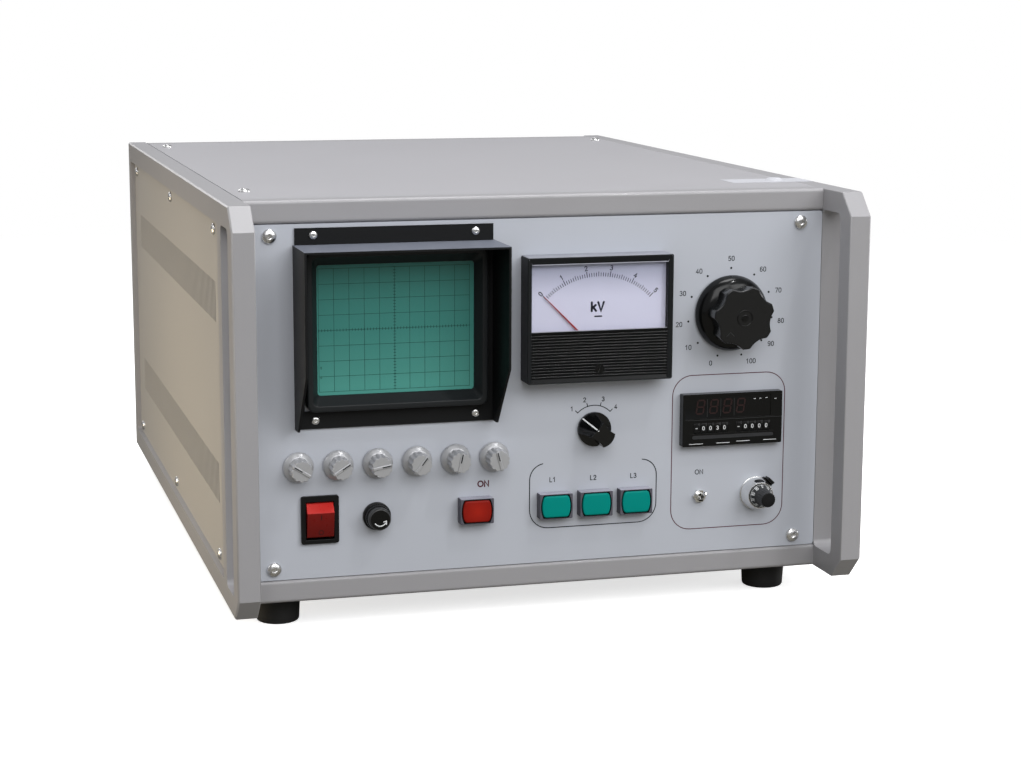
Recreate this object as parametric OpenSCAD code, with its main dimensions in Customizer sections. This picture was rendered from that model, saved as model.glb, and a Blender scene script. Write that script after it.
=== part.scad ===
// Bench surge tester: two cast side frames with front grip slots, sheet covers,
// a front panel with a hooded picture tube, a pointer meter and its controls.

/* [Case] */
// Width over the two side frames
case_w = 425; // [400:1:480]
// Depth from the grip posts to the rear posts
case_d = 584; // [520:1:680]
// Height of the side frames without the feet
frame_h = 263.6; // [258:0.2:300]
// Thickness of one side frame
frame_t = 14.7; // [10:0.1:18]
// Height of the top and bottom bars of a side frame
frame_bar = 15.1; // [12:0.1:20]
// Depth of the grip post at the front
post_d = 16.5; // [12:0.5:22]
// Clear depth of the grip slot
slot_d = 29.5; // [25:0.5:40]
// Depth of the bar behind the grip slot
bar_d = 14; // [12:0.5:24]
// Depth of the rear post of a side frame
rear_post_d = 14; // [10:0.5:24]
// Flat cut across the two front corners of a side frame
corner_cut = 15; // [8:0.5:20]
// Bevel on the long edges of a side frame
edge_bevel = 1; // [0.5:0.1:2.5]
// Corner radius of the grip slot
slot_r = 4.5; // [2:0.5:8]

/* [Sheet parts] */
// Thickness of the covers and side panels
sheet_t = 1.5; // [1:0.1:2.5]
// Thickness of the front panel
panel_t = 3; // [2:0.5:5]
// Depth of the side panels below the face of their frame
side_recess = 3.5; // [2:0.5:5]
// Width of the frame lip that a side panel is screwed to
lip_w = 14; // [11:0.5:18]
// Gap left round sheet parts
sheet_gap = 0.3; // [0.1:0.05:0.6]
// Depth of a cross rail
rail_d = 12.7; // [9:0.1:16]
// Distance that a rail stands in front of its panel
rail_proud = 0.7; // [0.2:0.1:2]
// Height of the rail lip behind a panel
rail_lip = 13; // [11:0.5:16]
// Width of one vent slot
vent_w = 2.6; // [1.5:0.1:4]
// Distance between neighbouring vent slots
vent_pitch = 6; // [5:0.5:10]
// Height of one vent band
vent_h = 27; // [20:1:40]
// Length of one vent band
vent_len = 434; // [300:2:440]
// Distance of a vent band from the middle height
vent_off = 61; // [45:1:70]

/* [Feet and screws] */
// Height of a rubber foot
foot_h = 20.6; // [12:0.2:30]
// Top radius of a rubber foot
foot_r = 15.5; // [10:0.5:20]
// Distance of the feet from the middle
foot_x = 174; // [150:1:180]
// Distance of a foot from the nearer end of the case
foot_inset = 80; // [60:1:120]
// Head radius of the front panel screws
panel_head_r = 4.75; // [4:0.05:6]
// Head radius of the case screws
case_head_r = 3.9; // [3:0.1:5]
// Head radius of the hood screws
hood_head_r = 2.75; // [2:0.05:3.5]
// Gap round a screw shank in its hole
shank_gap = 0.15; // [0.1:0.05:0.4]

/* [Picture tube and hood] */
// Centre of the tube from the middle of the panel
tube_x = -100; // [-110:1:-90]
// Centre of the tube above the resting plane
tube_z = 200; // [190:1:206]
// Width of the picture area
screen_w = 104; // [90:1:108]
// Height of the picture area
screen_h = 84.6; // [70:0.2:88]
// Width of the hood over its side walls
hood_w = 133.4; // [128:0.2:150]
// Reach of the hood in front of the panel
hood_d = 41.6; // [20:0.2:44]
// Top of the hood above the tube centre
hood_up = 55.4; // [54:0.2:56]
// Bottom of the hood below the tube centre
hood_down = 64.2; // [62:0.2:70]
// Thickness of the moulded frame round the screen
bezel_t = 10; // [6:0.5:14]
// Length of the picture tube
tube_len = 372; // [300:2:420]

/* [Pointer meter] */
// Centre of the meter from the middle of the panel
meter_x = 34.8; // [30:0.2:40]
// Centre of the meter above the resting plane
meter_z = 202.4; // [198:0.2:206]
// Width of the meter face
meter_w = 100; // [90:1:104]
// Height of the meter face
meter_h = 83.2; // [80:0.2:90]
// Distance that the meter stands out of the panel
meter_d = 16.5; // [14:0.5:20]
// Radius of the drum behind the panel
meter_drum_r = 34; // [28:1:36]
// Distance of the needle pivot below the meter centre
pivot_down = 22; // [20:0.2:24]
// Length of the needle from its pivot
needle_len = 53.6; // [46:0.2:54]
// Angle of the needle at zero, from upright
needle_zero = -45; // [-50:1:-40]

/* [Output control] */
// Place of the output knob across the panel
output_x = 132.2; // [126:0.1:140]
// Height of the output knob above the resting plane
output_z = 201.2; // [196:0.1:206]
// Radius of the knob skirt
output_skirt_r = 25.8; // [22:0.1:28]
// Radius of the knob grip over its lobes
output_grip_r = 20.8; // [18:0.1:23]
// Height of the output knob
output_knob_h = 27; // [22:0.5:32]
// Number of lobes on the grip
output_lobes = 7; // [6:1:10]
// Radius of the winding of the variable transformer
variac_r = 49; // [40:1:50]
// Radius of the output shaft
output_shaft_r = 4; // [3:0.5:5]

/* [Range and trim knobs] */
// Place of the range knob across the panel
range_x = 36; // [34:0.5:38]
// Height of the range knob above the resting plane
range_z = 126; // [124:0.5:128]
// Radius of the range knob base
range_r = 11.6; // [9:0.1:13]
// Angle of the range pointer from upright
range_angle = -48; // [-48:32:48]
// Place of the first trim knob across the panel
trim_x = -165; // [-170:0.5:-160]
// Distance between neighbouring trim knobs
trim_pitch = 26.3; // [24:0.1:28]
// Height of the trim knobs above the resting plane
trim_z = 110.8; // [109:0.1:112]
// Radius of a trim knob skirt
trim_r = 10.2; // [9:0.1:11.5]
// Height of a trim knob
trim_h = 16; // [13:0.5:20]
// Radius of a small spindle
spindle_r = 3; // [2:0.5:4]

/* [Lower row] */
// Height of the lower row above the resting plane
row_z = 75.3; // [72:0.1:78]
// Place of the power switch across the panel
power_x = -151.2; // [-154:0.2:-146]
// Width of the power switch rim
power_w = 25; // [23:0.2:28]
// Height of the power switch rim
power_h = 32; // [31:0.2:38]
// Place of the fuse holder across the panel
fuse_x = -113.3; // [-118:0.1:-108]
// Radius of the fuse holder flange
fuse_r = 9.3; // [8:0.1:11]
// Place of the high voltage button across the panel
hv_x = -46.8; // [-52:0.1:-42]
// Place of the first line button across the panel
line_x = 7.9; // [4:0.1:10]
// Distance between neighbouring line buttons
line_pitch = 28.2; // [25:0.1:30]
// Height of the four buttons above the resting plane
button_z = 75.8; // [73:0.1:78]
// Width of a button housing
button_w = 22.8; // [20:0.2:24]
// Height of a button housing
button_h = 17.2; // [16:0.2:20]
// Distance that a button housing stands out
button_d = 8; // [8:0.5:14]
// Travel of a button
button_travel = 3; // [1:0.5:4]
// Place of the toggle switch across the panel
toggle_x = 112; // [108:0.5:116]
// Place of the turns dial across the panel
dial_x = 153.2; // [148:0.2:156]
// Radius of the turns dial
dial_r = 11; // [10:0.1:13]
// Length of the turns dial
dial_len = 25; // [25:0.5:32]

/* [Comparator] */
// Place of the comparator across the panel
comp_x = 133.1; // [130:0.1:136]
// Height of the comparator centre above the resting plane
comp_z = 129.1; // [127:0.1:130]
// Width of the comparator face
comp_w = 72; // [70:1:74]
// Height of the comparator face
comp_h = 36; // [34:0.5:38]
// Distance that the comparator stands out
comp_d = 6.5; // [5:0.5:8]
// Distance between neighbouring number wheels
wheel_pitch = 5.05; // [4.8:0.05:5.2]
// Radius of a number wheel
wheel_r = 9; // [8:0.1:9.2]
// Width of a number wheel
wheel_w = 4.2; // [3.8:0.1:4.3]

/* [Hidden] */
$fn = 48;

// Running gap of a turning shaft in its bore
run_gap = 0.06;
// Gap between pieces that move past each other
move_gap = 0.35;
// Overlap that joins the forms of one piece
join = 0.2;

// Main planes of the case
x_out = case_w / 2;
x_in = x_out - frame_t;
y_front = -case_d / 2;
y_rear = case_d / 2;
y_panel = y_front + post_d + slot_d;
z_low = foot_h;
z_top = foot_h + frame_h;
z_mid = foot_h + frame_h / 2;
rail_h = frame_bar;
rear_inset = 8;
y_rear_panel = y_rear - rear_inset - rail_proud;
panel_z0 = z_low + rail_h + sheet_gap;
panel_z1 = z_top - rail_h - sheet_gap;

// Opening of a side frame and the places of what it holds
win_y0 = y_panel + bar_d;
win_y1 = y_rear - rear_post_d;
win_z0 = z_low + frame_bar;
win_z1 = z_top - frame_bar;
side_screw_inset_z = 7.5;
side_screw_front_inset = 36;
side_screw_rear_inset = 22;
ledge_w = 15;
ledge_t = 2;
cover_y0 = y_panel - rail_proud + rail_d;
cover_y1 = y_rear - rear_inset - rail_d;
cover_screw_x = x_in - 10.5;
cover_screw_front = cover_y0 + 50;
cover_screw_rear = cover_y1 - 45;

// Shanks of the screws, by their heads
panel_shank_r = 2.5;
case_shank_r = 2;
hood_shank_r = 1.5;
shank_len = 5;
panel_screw_x = x_in - 16.2;
panel_screw_inset = 7.4;
hood_screw_x = 53.5;
hood_flange = 10.8;

// Places of the six trim knobs and the angles their pointers show
function trim_place(i) = trim_x + i * trim_pitch;
trim_angles = [-57, 58, 80, 38, 12, -15];

// Number wheels of the comparator
wheel_z = comp_z - 5.5;
wheel_stand = 0.5;
wheel_tooth = 0.2;
comp_wall = 0.8;
wheel_axis_d = comp_d + wheel_stand - wheel_r;
wheel_first = [-25.6, 4.8];
wheel_reach = comp_d - comp_wall - wheel_axis_d;
slot_h = 2 * (sqrt(pow(wheel_r + wheel_tooth, 2) - pow(wheel_reach, 2)) + move_gap);
axle_r = 1.4;
function wheel_place(group, i) = comp_x + wheel_first[group] + i * wheel_pitch;

// Puts a form that grows along +Z on the front panel, d in front of its face
module on_panel(x, z, d = 0)
    translate([x, y_panel - d, z]) rotate([90, 0, 0]) children();

// Puts a form that grows along +Z on the rear panel, pointing backwards
module on_rear(x, z, d = 0)
    translate([x, y_rear_panel + d, z]) rotate([90, 0, 180]) children();

// Extrudes an outline drawn in Y and Z along X
module along_x(x0, len)
    translate([x0, 0, 0]) rotate([90, 0, 90]) linear_extrude(len) children();

// Rectangle with round corners, made of true arcs
module round_rect(w, h, r) {
    square([w - 2 * r, h], center = true);
    square([w, h - 2 * r], center = true);
    for (sx = [-1, 1], sy = [-1, 1])
        translate([sx * (w / 2 - r), sy * (h / 2 - r)]) circle(r);
}

module round_rect_at(x0, x1, y0, y1, r)
    translate([(x0 + x1) / 2, (y0 + y1) / 2]) round_rect(x1 - x0, y1 - y0, r);

// Tube along +Z
module ring(r_out, r_in, h)
    difference() {
        cylinder(r = r_out, h = h);
        translate([0, 0, -join]) cylinder(r = r_in, h = h + 2 * join);
    }

// Corner points of a side frame, in Y and Z
frame_points = [
    [y_front, z_low + corner_cut],
    [y_front + corner_cut, z_low],
    [y_rear, z_low],
    [y_rear, z_top],
    [y_front + corner_cut, z_top],
    [y_front, z_top - corner_cut]
];

// Cuts a bevel along every edge of the frame outline on the face at x
module frame_bevels(x, size)
    for (i = [0 : len(frame_points) - 1]) {
        p = frame_points[i];
        q = frame_points[(i + 1) % len(frame_points)];
        span = norm(q - p);
        translate([x, (p[0] + q[0]) / 2, (p[1] + q[1]) / 2])
            rotate([atan2(q[1] - p[1], q[0] - p[0]), 0, 0])
                rotate([0, 45, 0])
                    cube([size * sqrt(2), span + 2 * size, size * sqrt(2)], center = true);
    }

function side_screw_y() = [
    win_y0 + side_screw_front_inset,
    (win_y0 + side_screw_front_inset + win_y1 - side_screw_rear_inset) / 2,
    win_y1 - side_screw_rear_inset
];
function side_screw_z() = [win_z0 + side_screw_inset_z, win_z1 - side_screw_inset_z];

// Places its children at the six screws of the right side panel, pointing outwards
module at_side_screws(x)
    for (y = side_screw_y(), z = side_screw_z())
        translate([x, y, z]) rotate([0, 90, 0]) children();

// Places its children at the four screws of a cover
module at_cover_screws()
    for (sx = [-1, 1], y = [cover_screw_front, cover_screw_rear])
        translate([sx * cover_screw_x, y, 0]) children();

module at_panel_screws()
    for (sx = [-1, 1], z = [panel_z0 + panel_screw_inset, panel_z1 - panel_screw_inset])
        on_panel(sx * panel_screw_x, z) children();

module at_rear_screws()
    for (sx = [-1, 1], z = [panel_z0 + panel_screw_inset, panel_z1 - panel_screw_inset])
        on_rear(sx * panel_screw_x, z) children();

// Side frame on the +X side: grip slot, panel rebate with its lip, cover ledges
module side_frame() {
    difference() {
        union() {
            along_x(x_in, frame_t) difference() {
                polygon(frame_points);
                round_rect_at(y_front + post_d, y_panel,
                    z_low + frame_bar - 0.7, z_top - frame_bar + 0.7, slot_r);
                round_rect_at(win_y0 + lip_w, win_y1 - lip_w,
                    win_z0 + lip_w, win_z1 - lip_w, 8);
            }
            for (z = [z_low + sheet_t, z_top - sheet_t - ledge_t])
                translate([x_in - ledge_w, cover_y0 + 9, z])
                    cube([ledge_w + join, cover_y1 - cover_y0 - 18, ledge_t]);
        }
        along_x(x_out - side_recess - sheet_t, side_recess + sheet_t + 1)
            round_rect_at(win_y0, win_y1, win_z0, win_z1, 3);
        frame_bevels(x_out, edge_bevel);
        frame_bevels(x_in, edge_bevel / 2);
        at_side_screws(x_out - side_recess - sheet_t - shank_len - 1)
            cylinder(r = case_shank_r + shank_gap, h = shank_len + 2);
        at_cover_screws() translate([0, 0, z_low])
            cylinder(r = case_shank_r + shank_gap, h = frame_h);
    }
}

module side_frame_right() color([0.66, 0.65, 0.62]) side_frame();

module side_frame_left() color([0.66, 0.65, 0.62]) mirror([1, 0, 0]) side_frame();

// Sheet panel with two vent bands, held in the rebate of its frame
module side_panel() {
    y_mid = (win_y0 + win_y1) / 2;
    slots = floor(vent_len / vent_pitch);
    difference() {
        along_x(x_out - side_recess - sheet_t, sheet_t) difference() {
            round_rect_at(win_y0 + sheet_gap, win_y1 - sheet_gap,
                win_z0 + sheet_gap, win_z1 - sheet_gap, 3);
            for (sz = [-1, 1], i = [0 : slots])
                translate([y_mid + (i - slots / 2) * vent_pitch, z_mid + sz * vent_off])
                    square([vent_w, vent_h], center = true);
        }
        at_side_screws(x_out - side_recess - 2 * sheet_t)
            cylinder(r = case_shank_r + shank_gap, h = 3 * sheet_t);
    }
}

module side_panels() color([0.63, 0.61, 0.57]) {
    side_panel();
    mirror([1, 0, 0]) side_panel();
}

// Outline of a rail in Y and Z: rounded bar, lip behind the panel, ledge for the cover
module rail_outline() {
    bar_z = z_top - rail_h;
    nose = 2.4;
    y0 = y_panel - rail_proud;
    translate([y0 + nose, bar_z]) square([rail_d - nose, rail_h]);
    translate([y0, bar_z + nose]) square([nose + join, rail_h - 2 * nose]);
    for (z = [bar_z + nose, z_top - nose])
        translate([y0 + nose, z]) circle(nose);
    translate([y_panel + panel_t, bar_z - rail_lip]) square([3, rail_lip + join]);
    translate([y0 + rail_d - join, z_top - sheet_t - ledge_t]) square([8.5 + join, ledge_t]);
}

module rail()
    difference() {
        along_x(-x_in, 2 * x_in) rail_outline();
        at_panel_screws() translate([0, 0, -panel_t - shank_len - 2])
            cylinder(r = panel_shank_r + shank_gap, h = shank_len + 2 * panel_t);
    }

// Four like rails: front top, front bottom, and the same pair turned for the rear
module cross_rails() color([0.64, 0.63, 0.6])
    for (turn = [0, 1])
        translate([0, turn * (y_panel - rail_proud + y_rear - rear_inset), 0])
            mirror([0, turn, 0]) {
                rail();
                translate([0, 0, 2 * z_mid]) mirror([0, 0, 1]) rail();
            }

module cover_sheet()
    difference() {
        translate([-x_in + sheet_gap, cover_y0 + sheet_gap, 0])
            cube([2 * (x_in - sheet_gap), cover_y1 - cover_y0 - 2 * sheet_gap, sheet_t]);
        at_cover_screws() translate([0, 0, -1])
            cylinder(r = case_shank_r + shank_gap, h = sheet_t + 2);
    }

module top_cover() color([0.69, 0.68, 0.65]) translate([0, 0, z_top - sheet_t]) cover_sheet();

module bottom_cover() color([0.6, 0.59, 0.57]) translate([0, 0, z_low]) cover_sheet();

// Rectangular cutouts and round holes of the front panel
module front_cutouts() {
    translate([tube_x, tube_z]) square([screen_w + 8, screen_h + 8], center = true);
    translate([meter_x, meter_z]) circle(meter_drum_r + 0.2);
    translate([output_x, output_z]) circle(output_shaft_r + 1.5);
    translate([range_x, range_z]) circle(spindle_r + 1.5);
    for (i = [0 : 5])
        translate([trim_place(i), trim_z]) circle(spindle_r + 1.5);
    translate([power_x, row_z]) square([power_w - 3.6, power_h - 3.6], center = true);
    translate([fuse_x, row_z]) circle(fuse_r - 1.6);
    for (x = button_places())
        translate([x, button_z])
            square([button_w - neck_in + 0.4, button_h - neck_in + 0.4], center = true);
    translate([comp_x, comp_z]) square([comp_w - 4, comp_h - 3], center = true);
    translate([toggle_x, row_z]) circle(3.2);
    translate([dial_x, row_z]) circle(spindle_r + 1.5);
}

// Buttons: four places, and how much smaller the neck is than the housing
neck_in = 4;
function button_places() = [hv_x, line_x, line_x + line_pitch, line_x + 2 * line_pitch];

module front_panel() color([0.68, 0.71, 0.75])
    difference() {
        translate([0, y_panel + panel_t, 0]) rotate([90, 0, 0]) linear_extrude(panel_t)
            difference() {
                round_rect_at(-x_in + sheet_gap, x_in - sheet_gap, panel_z0, panel_z1, 1.5);
                front_cutouts();
            }
        at_panel_screws() translate([0, 0, -panel_t - 1])
            cylinder(r = panel_shank_r + shank_gap, h = panel_t + 2);
        on_hood_screws() translate([0, 0, -panel_t - 1])
            cylinder(r = hood_shank_r + shank_gap, h = panel_t + 2);
    }

// Mains inlet and output sockets sit low on the rear panel
inlet_x = 150;
inlet_z = 75;
inlet_w = 48;
inlet_h = 28;
socket_x = -150;
socket_z = 80;
socket_pitch = 38;
socket_r = 11;
rear_vents = 36;

module rear_panel() color([0.62, 0.61, 0.59])
    difference() {
        translate([0, y_rear_panel, 0]) rotate([90, 0, 0]) linear_extrude(panel_t)
            difference() {
                round_rect_at(-x_in + sheet_gap, x_in - sheet_gap, panel_z0, panel_z1, 1.5);
                translate([inlet_x, inlet_z]) square([28, 20], center = true);
                for (i = [0 : 3])
                    translate([socket_x + i * socket_pitch, socket_z]) circle(socket_r - 2);
                for (i = [0 : rear_vents])
                    translate([(i - rear_vents / 2) * vent_pitch, z_mid + vent_off])
                        square([vent_w, vent_h], center = true);
            }
        at_rear_screws() translate([0, 0, -panel_t - 1])
            cylinder(r = panel_shank_r + shank_gap, h = panel_t + 2);
    }

// Tapered rubber foot with a screw recess, under the bottom cover
module foot()
    difference() {
        rotate_extrude() polygon([
            [0, 0], [foot_r - 2.2, 0], [foot_r - 1.2, 1], [foot_r - 0.6, foot_h * 0.6],
            [foot_r, foot_h], [0, foot_h]
        ]);
        translate([0, 0, -1]) cylinder(r = 5, h = foot_h * 0.6);
    }

module feet() color([0.08, 0.08, 0.08])
    for (sx = [-1, 1], y = [y_front + foot_inset, y_rear - foot_inset])
        translate([sx * foot_x, y, 0]) foot();

// Button head with a hexagon recess, on a straight shank
module button_screw(head_r, shank_r, shank, hex)
    difference() {
        union() {
            rotate_extrude() intersection() {
                translate([0, -head_r * 0.9]) circle(head_r * 1.45);
                square([head_r, head_r * 0.58]);
            }
            translate([0, 0, -shank]) cylinder(r = shank_r, h = shank + join);
        }
        translate([0, 0, head_r * 0.2]) cylinder(r = hex, h = head_r, $fn = 6);
    }

// Pan head with a cross recess
module pan_screw(head_r, shank_r, shank)
    difference() {
        union() {
            rotate_extrude() intersection() {
                translate([0, -head_r * 0.55]) circle(head_r * 1.15);
                square([head_r, head_r * 0.62]);
            }
            translate([0, 0, -shank]) cylinder(r = shank_r, h = shank + join);
        }
        for (a = [0, 90]) rotate(a)
            translate([0, 0, head_r * 0.6])
                cube([head_r * 1.1, head_r * 0.26, head_r * 0.7], center = true);
    }

module on_hood_screws()
    for (sx = [-1, 1], z = [tube_z + hood_up + hood_flange * 0.58, tube_z - hood_down + 5.6])
        on_panel(tube_x + sx * hood_screw_x, z) children();

module panel_screws() color([0.85, 0.85, 0.86]) {
    at_panel_screws() button_screw(panel_head_r, panel_shank_r, panel_t + shank_len - 2, 1.75);
    at_rear_screws() button_screw(panel_head_r, panel_shank_r, panel_t + shank_len - 2, 1.75);
    on_hood_screws() translate([0, 0, sheet_t])
        button_screw(hood_head_r, hood_shank_r, sheet_t + panel_t, 1.05);
}

module case_screws() color([0.85, 0.85, 0.86]) {
    for (side = [0, 1]) mirror([side, 0, 0])
        at_side_screws(x_out - side_recess)
            pan_screw(case_head_r, case_shank_r, sheet_t + shank_len - 1);
    at_cover_screws() translate([0, 0, z_top])
        pan_screw(case_head_r, case_shank_r, sheet_t + ledge_t + 2);
    at_cover_screws() translate([0, 0, z_low]) mirror([0, 0, 1])
        pan_screw(case_head_r, case_shank_r, sheet_t + ledge_t + 2);
}

// Bent sheet hood: top, two tapering walls, and two screwed flanges
module crt_hood() color([0.1, 0.1, 0.11])
    difference() {
        union() {
            x0 = tube_x - hood_w / 2;
            taper_z = tube_z - 23.6;
            low_z = tube_z - hood_down;
            top_z = tube_z + hood_up;
            for (x = [x0, x0 + hood_w - sheet_t])
                along_x(x, sheet_t) polygon([
                    [y_panel, low_z], [y_panel - 10.6, low_z], [y_panel - hood_d, taper_z],
                    [y_panel - hood_d, top_z], [y_panel, top_z]
                ]);
            along_x(x0, hood_w) translate([y_panel - hood_d, top_z - sheet_t])
                square([hood_d, sheet_t]);
            along_x(x0 + 1.2, hood_w - 2.4) translate([y_panel - sheet_t, top_z - sheet_t])
                square([sheet_t, hood_flange + sheet_t]);
            along_x(x0 + 1, hood_w - 2) translate([y_panel - sheet_t, low_z])
                square([sheet_t, 11.4]);
            strip = (hood_w - bezel_w) / 2 - 1.3;
            for (x = [x0 + 1, x0 + hood_w - 1 - strip])
                along_x(x, strip) translate([y_panel - sheet_t, low_z])
                    square([sheet_t, top_z - low_z]);
        }
        on_hood_screws() translate([0, 0, -1])
            cylinder(r = hood_shank_r + shank_gap, h = sheet_t + 2);
    }

// Moulded frame round the screen, with a bevel down to the picture area
bezel_w = 120;
bezel_h = 104;
grat_t = 2.5;
picture_r = 2;

module crt_bezel() color([0.17, 0.18, 0.19])
    on_panel(tube_x, tube_z) difference() {
        linear_extrude(bezel_t) round_rect(bezel_w, bezel_h, 5);
        translate([0, 0, -join]) linear_extrude(bezel_t) round_rect(screen_w, screen_h, picture_r);
        translate([0, 0, -join]) linear_extrude(grat_t + join)
            round_rect(screen_w + 4, screen_h + 4, picture_r);
        hull() {
            translate([0, 0, grat_t + 1]) linear_extrude(0.01)
                round_rect(screen_w, screen_h, picture_r, $fn = 32);
            translate([0, 0, bezel_t + 0.01]) linear_extrude(0.01)
                round_rect(bezel_w - 8, bezel_h - 8, picture_r, $fn = 32);
        }
    }

module graticule() color([0.2, 0.52, 0.44])
    on_panel(tube_x, tube_z) linear_extrude(grat_t)
        round_rect(screen_w + 4 - 2 * sheet_gap, screen_h + 4 - 2 * sheet_gap, picture_r);

// Glass tube: face, funnel, neck and base
module crt_tube() color([0.75, 0.8, 0.78]) {
    face_w = screen_w + 7;
    face_h = screen_h + 7;
    neck_r = 25.5;
    funnel = 128;
    on_panel(tube_x, tube_z) mirror([0, 0, 1]) {
        linear_extrude(16) round_rect(face_w, face_h, 8);
        hull() {
            translate([0, 0, 15.9]) linear_extrude(0.1) round_rect(face_w, face_h, 8, $fn = 32);
            translate([0, 0, funnel]) cylinder(r = neck_r, h = 0.1);
        }
        translate([0, 0, funnel - 1]) cylinder(r = neck_r, h = tube_len - funnel - 20);
        translate([0, 0, tube_len - 22]) cylinder(r = neck_r + 2, h = 22);
    }
}

// Places a form at the meter centre, d in front of the panel
module at_meter(d = 0) on_panel(meter_x, meter_z, d) children();

// Face of the meter, dished behind a bevel, with its glass and dial
meter_wall = 1.5;
meter_dish = 1.2;
face_d = meter_d - meter_dish;
face_w = meter_w - 6;
face_top = 37.1;
face_bottom = -38.4;
glass_w = face_w - 0.4;
glass_top = 36.9;
glass_bottom = -7.4;
glass_t = 1.2;
post_r = 1.5;
back_wall = 1.6;
dial_d = 10.2;
dial_t = 0.8;
hub_h = 1.4;
zero_down = 32.8;
zero_r = 3;
zero_flange = 1.3;

module window_outline(extra = 0)
    round_rect_at(-glass_w / 2 - extra, glass_w / 2 + extra,
        glass_bottom - extra, glass_top + extra, 1);

// Meter moulding: dished face, ribbed lower wall, ledge, pivot post and rear drum
module meter_case() color([0.11, 0.12, 0.12])
    at_meter() {
        difference() {
            union() {
                linear_extrude(meter_d) round_rect(meter_w, meter_h, 1.2);
                translate([0, 0, -46]) cylinder(r = meter_drum_r, h = 46 + join);
            }
            hull() {
                translate([0, 0, face_d]) linear_extrude(0.01)
                    round_rect_at(-face_w / 2, face_w / 2, face_bottom, face_top, 1, $fn = 32);
                translate([0, 0, meter_d + 0.01]) linear_extrude(0.01)
                    round_rect(meter_w - 2, meter_h - 2, 1, $fn = 32);
            }
            translate([0, 0, dial_d]) linear_extrude(face_d - meter_wall - dial_d)
                round_rect(glass_w + 0.6, meter_h - 7.4, 1);
            translate([0, 0, back_wall]) linear_extrude(dial_d - back_wall + join)
                round_rect(glass_w - 6, meter_h - 14, 1);
            translate([0, 0, face_d - meter_wall - 1]) linear_extrude(meter_wall + 2)
                window_outline();
            translate([0, -zero_down, face_d - meter_wall - 1])
                cylinder(r = zero_r + run_gap, h = meter_wall + 2);
            for (i = [0 : 14])
                translate([0, glass_bottom - 2.4 - i * 1.95, face_d])
                    cube([glass_w, 0.8, 1], center = true);
        }
        translate([0, -pivot_down, back_wall - join])
            cylinder(r = post_r, h = dial_d + dial_t + 2.2 - back_wall + join);
    }

module meter_glass() color([0.85, 0.9, 0.92])
    at_meter(face_d - glass_t - 0.2) linear_extrude(glass_t) window_outline(-0.1);

module meter_dial() color([0.93, 0.93, 0.95])
    at_meter(dial_d) linear_extrude(dial_t) difference() {
        round_rect(glass_w + 0.2, meter_h - 7.8, 1);
        translate([0, -pivot_down]) circle(post_r + 0.4);
    }

// Needle with its hub and balance tail, resting on the zero mark
module meter_needle() color([0.75, 0.1, 0.12])
    on_panel(meter_x, meter_z - pivot_down, dial_d + dial_t + 0.5)
        rotate([0, 0, -needle_zero]) difference() {
            union() {
                cylinder(r = 4, h = hub_h);
                translate([0, 0, 0.5]) linear_extrude(0.5) polygon([
                    [-0.7, 0], [0.7, 0], [0.45, needle_len * 0.62], [0.2, needle_len],
                    [-0.2, needle_len], [-0.45, needle_len * 0.62]
                ]);
                translate([-1.4, -5, 0.3]) cube([2.8, 5, 0.9]);
            }
            translate([0, 0, -1]) cylinder(r = post_r + run_gap, h = 5);
        }

// Zero adjuster: flange behind the wall, slotted neck through it
module zero_screw() color([0.13, 0.13, 0.13])
    at_meter(face_d - meter_wall - zero_flange - 0.3) translate([0, -zero_down, 0])
        difference() {
            neck_h = zero_flange + meter_wall + 0.9;
            union() {
                cylinder(r = zero_r + 1.4, h = zero_flange);
                cylinder(r = zero_r, h = neck_h);
            }
            translate([0, 0, neck_h]) rotate(70)
                cube([2 * zero_r + 2, 0.9, 1.8], center = true);
        }

// Output knob: domed skirt, scalloped grip, sunk cap ring and a pointer mark
output_angle = -133.5;

hollow_r = 13;
hollow_deep = 2.8;

module grip_outline(r, lobes)
    difference() {
        circle(r);
        for (i = [0 : lobes - 1])
            rotate((i + 0.5) * 360 / lobes)
                translate([0, r + hollow_r - hollow_deep]) circle(hollow_r);
    }

module output_knob() color([0.12, 0.12, 0.13])
    on_panel(output_x, output_z, 0.6) rotate([0, 0, -output_angle]) difference() {
        union() {
            rotate_extrude() {
                square([output_skirt_r, 2]);
                intersection() {
                    square([output_skirt_r, 12]);
                    translate([output_skirt_r - 10, 2]) circle(10);
                }
                square([output_skirt_r - 10, 12]);
            }
            translate([0, 0, 10]) linear_extrude(output_knob_h - 10.6)
                grip_outline(output_grip_r, output_lobes);
        }
        translate([0, 0, output_knob_h - 1.4]) ring(5, 3.6, 2);
        translate([0, output_grip_r - 6, output_knob_h - 1]) cylinder(r = 2.4, h = 2, $fn = 3);
        translate([0, 0, -1]) cylinder(r = output_shaft_r + run_gap, h = 18);
    }

// Shaft of the variable transformer with its brush arm behind the winding
coil_h = 48;
coil_y = 7;

module variac_brush() color([0.75, 0.6, 0.3])
    on_panel(output_x, output_z, 17.4) mirror([0, 0, 1]) {
        cylinder(r = output_shaft_r, h = 17.4 + coil_y + coil_h + 6);
        translate([0, 0, 17.4 + coil_y + coil_h + move_gap + 1.5])
            rotate([0, 0, output_angle]) {
                difference() {
                    union() {
                        cylinder(r = 9, h = 5);
                        translate([-5, 0, 0]) cube([10, variac_r - 8, 4]);
                    }
                    translate([0, 0, -1]) cylinder(r = output_shaft_r - join, h = 7);
                }
                translate([-4, variac_r - 16, -1.5]) cube([8, 7, 1.7]);
            }
    }

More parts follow.
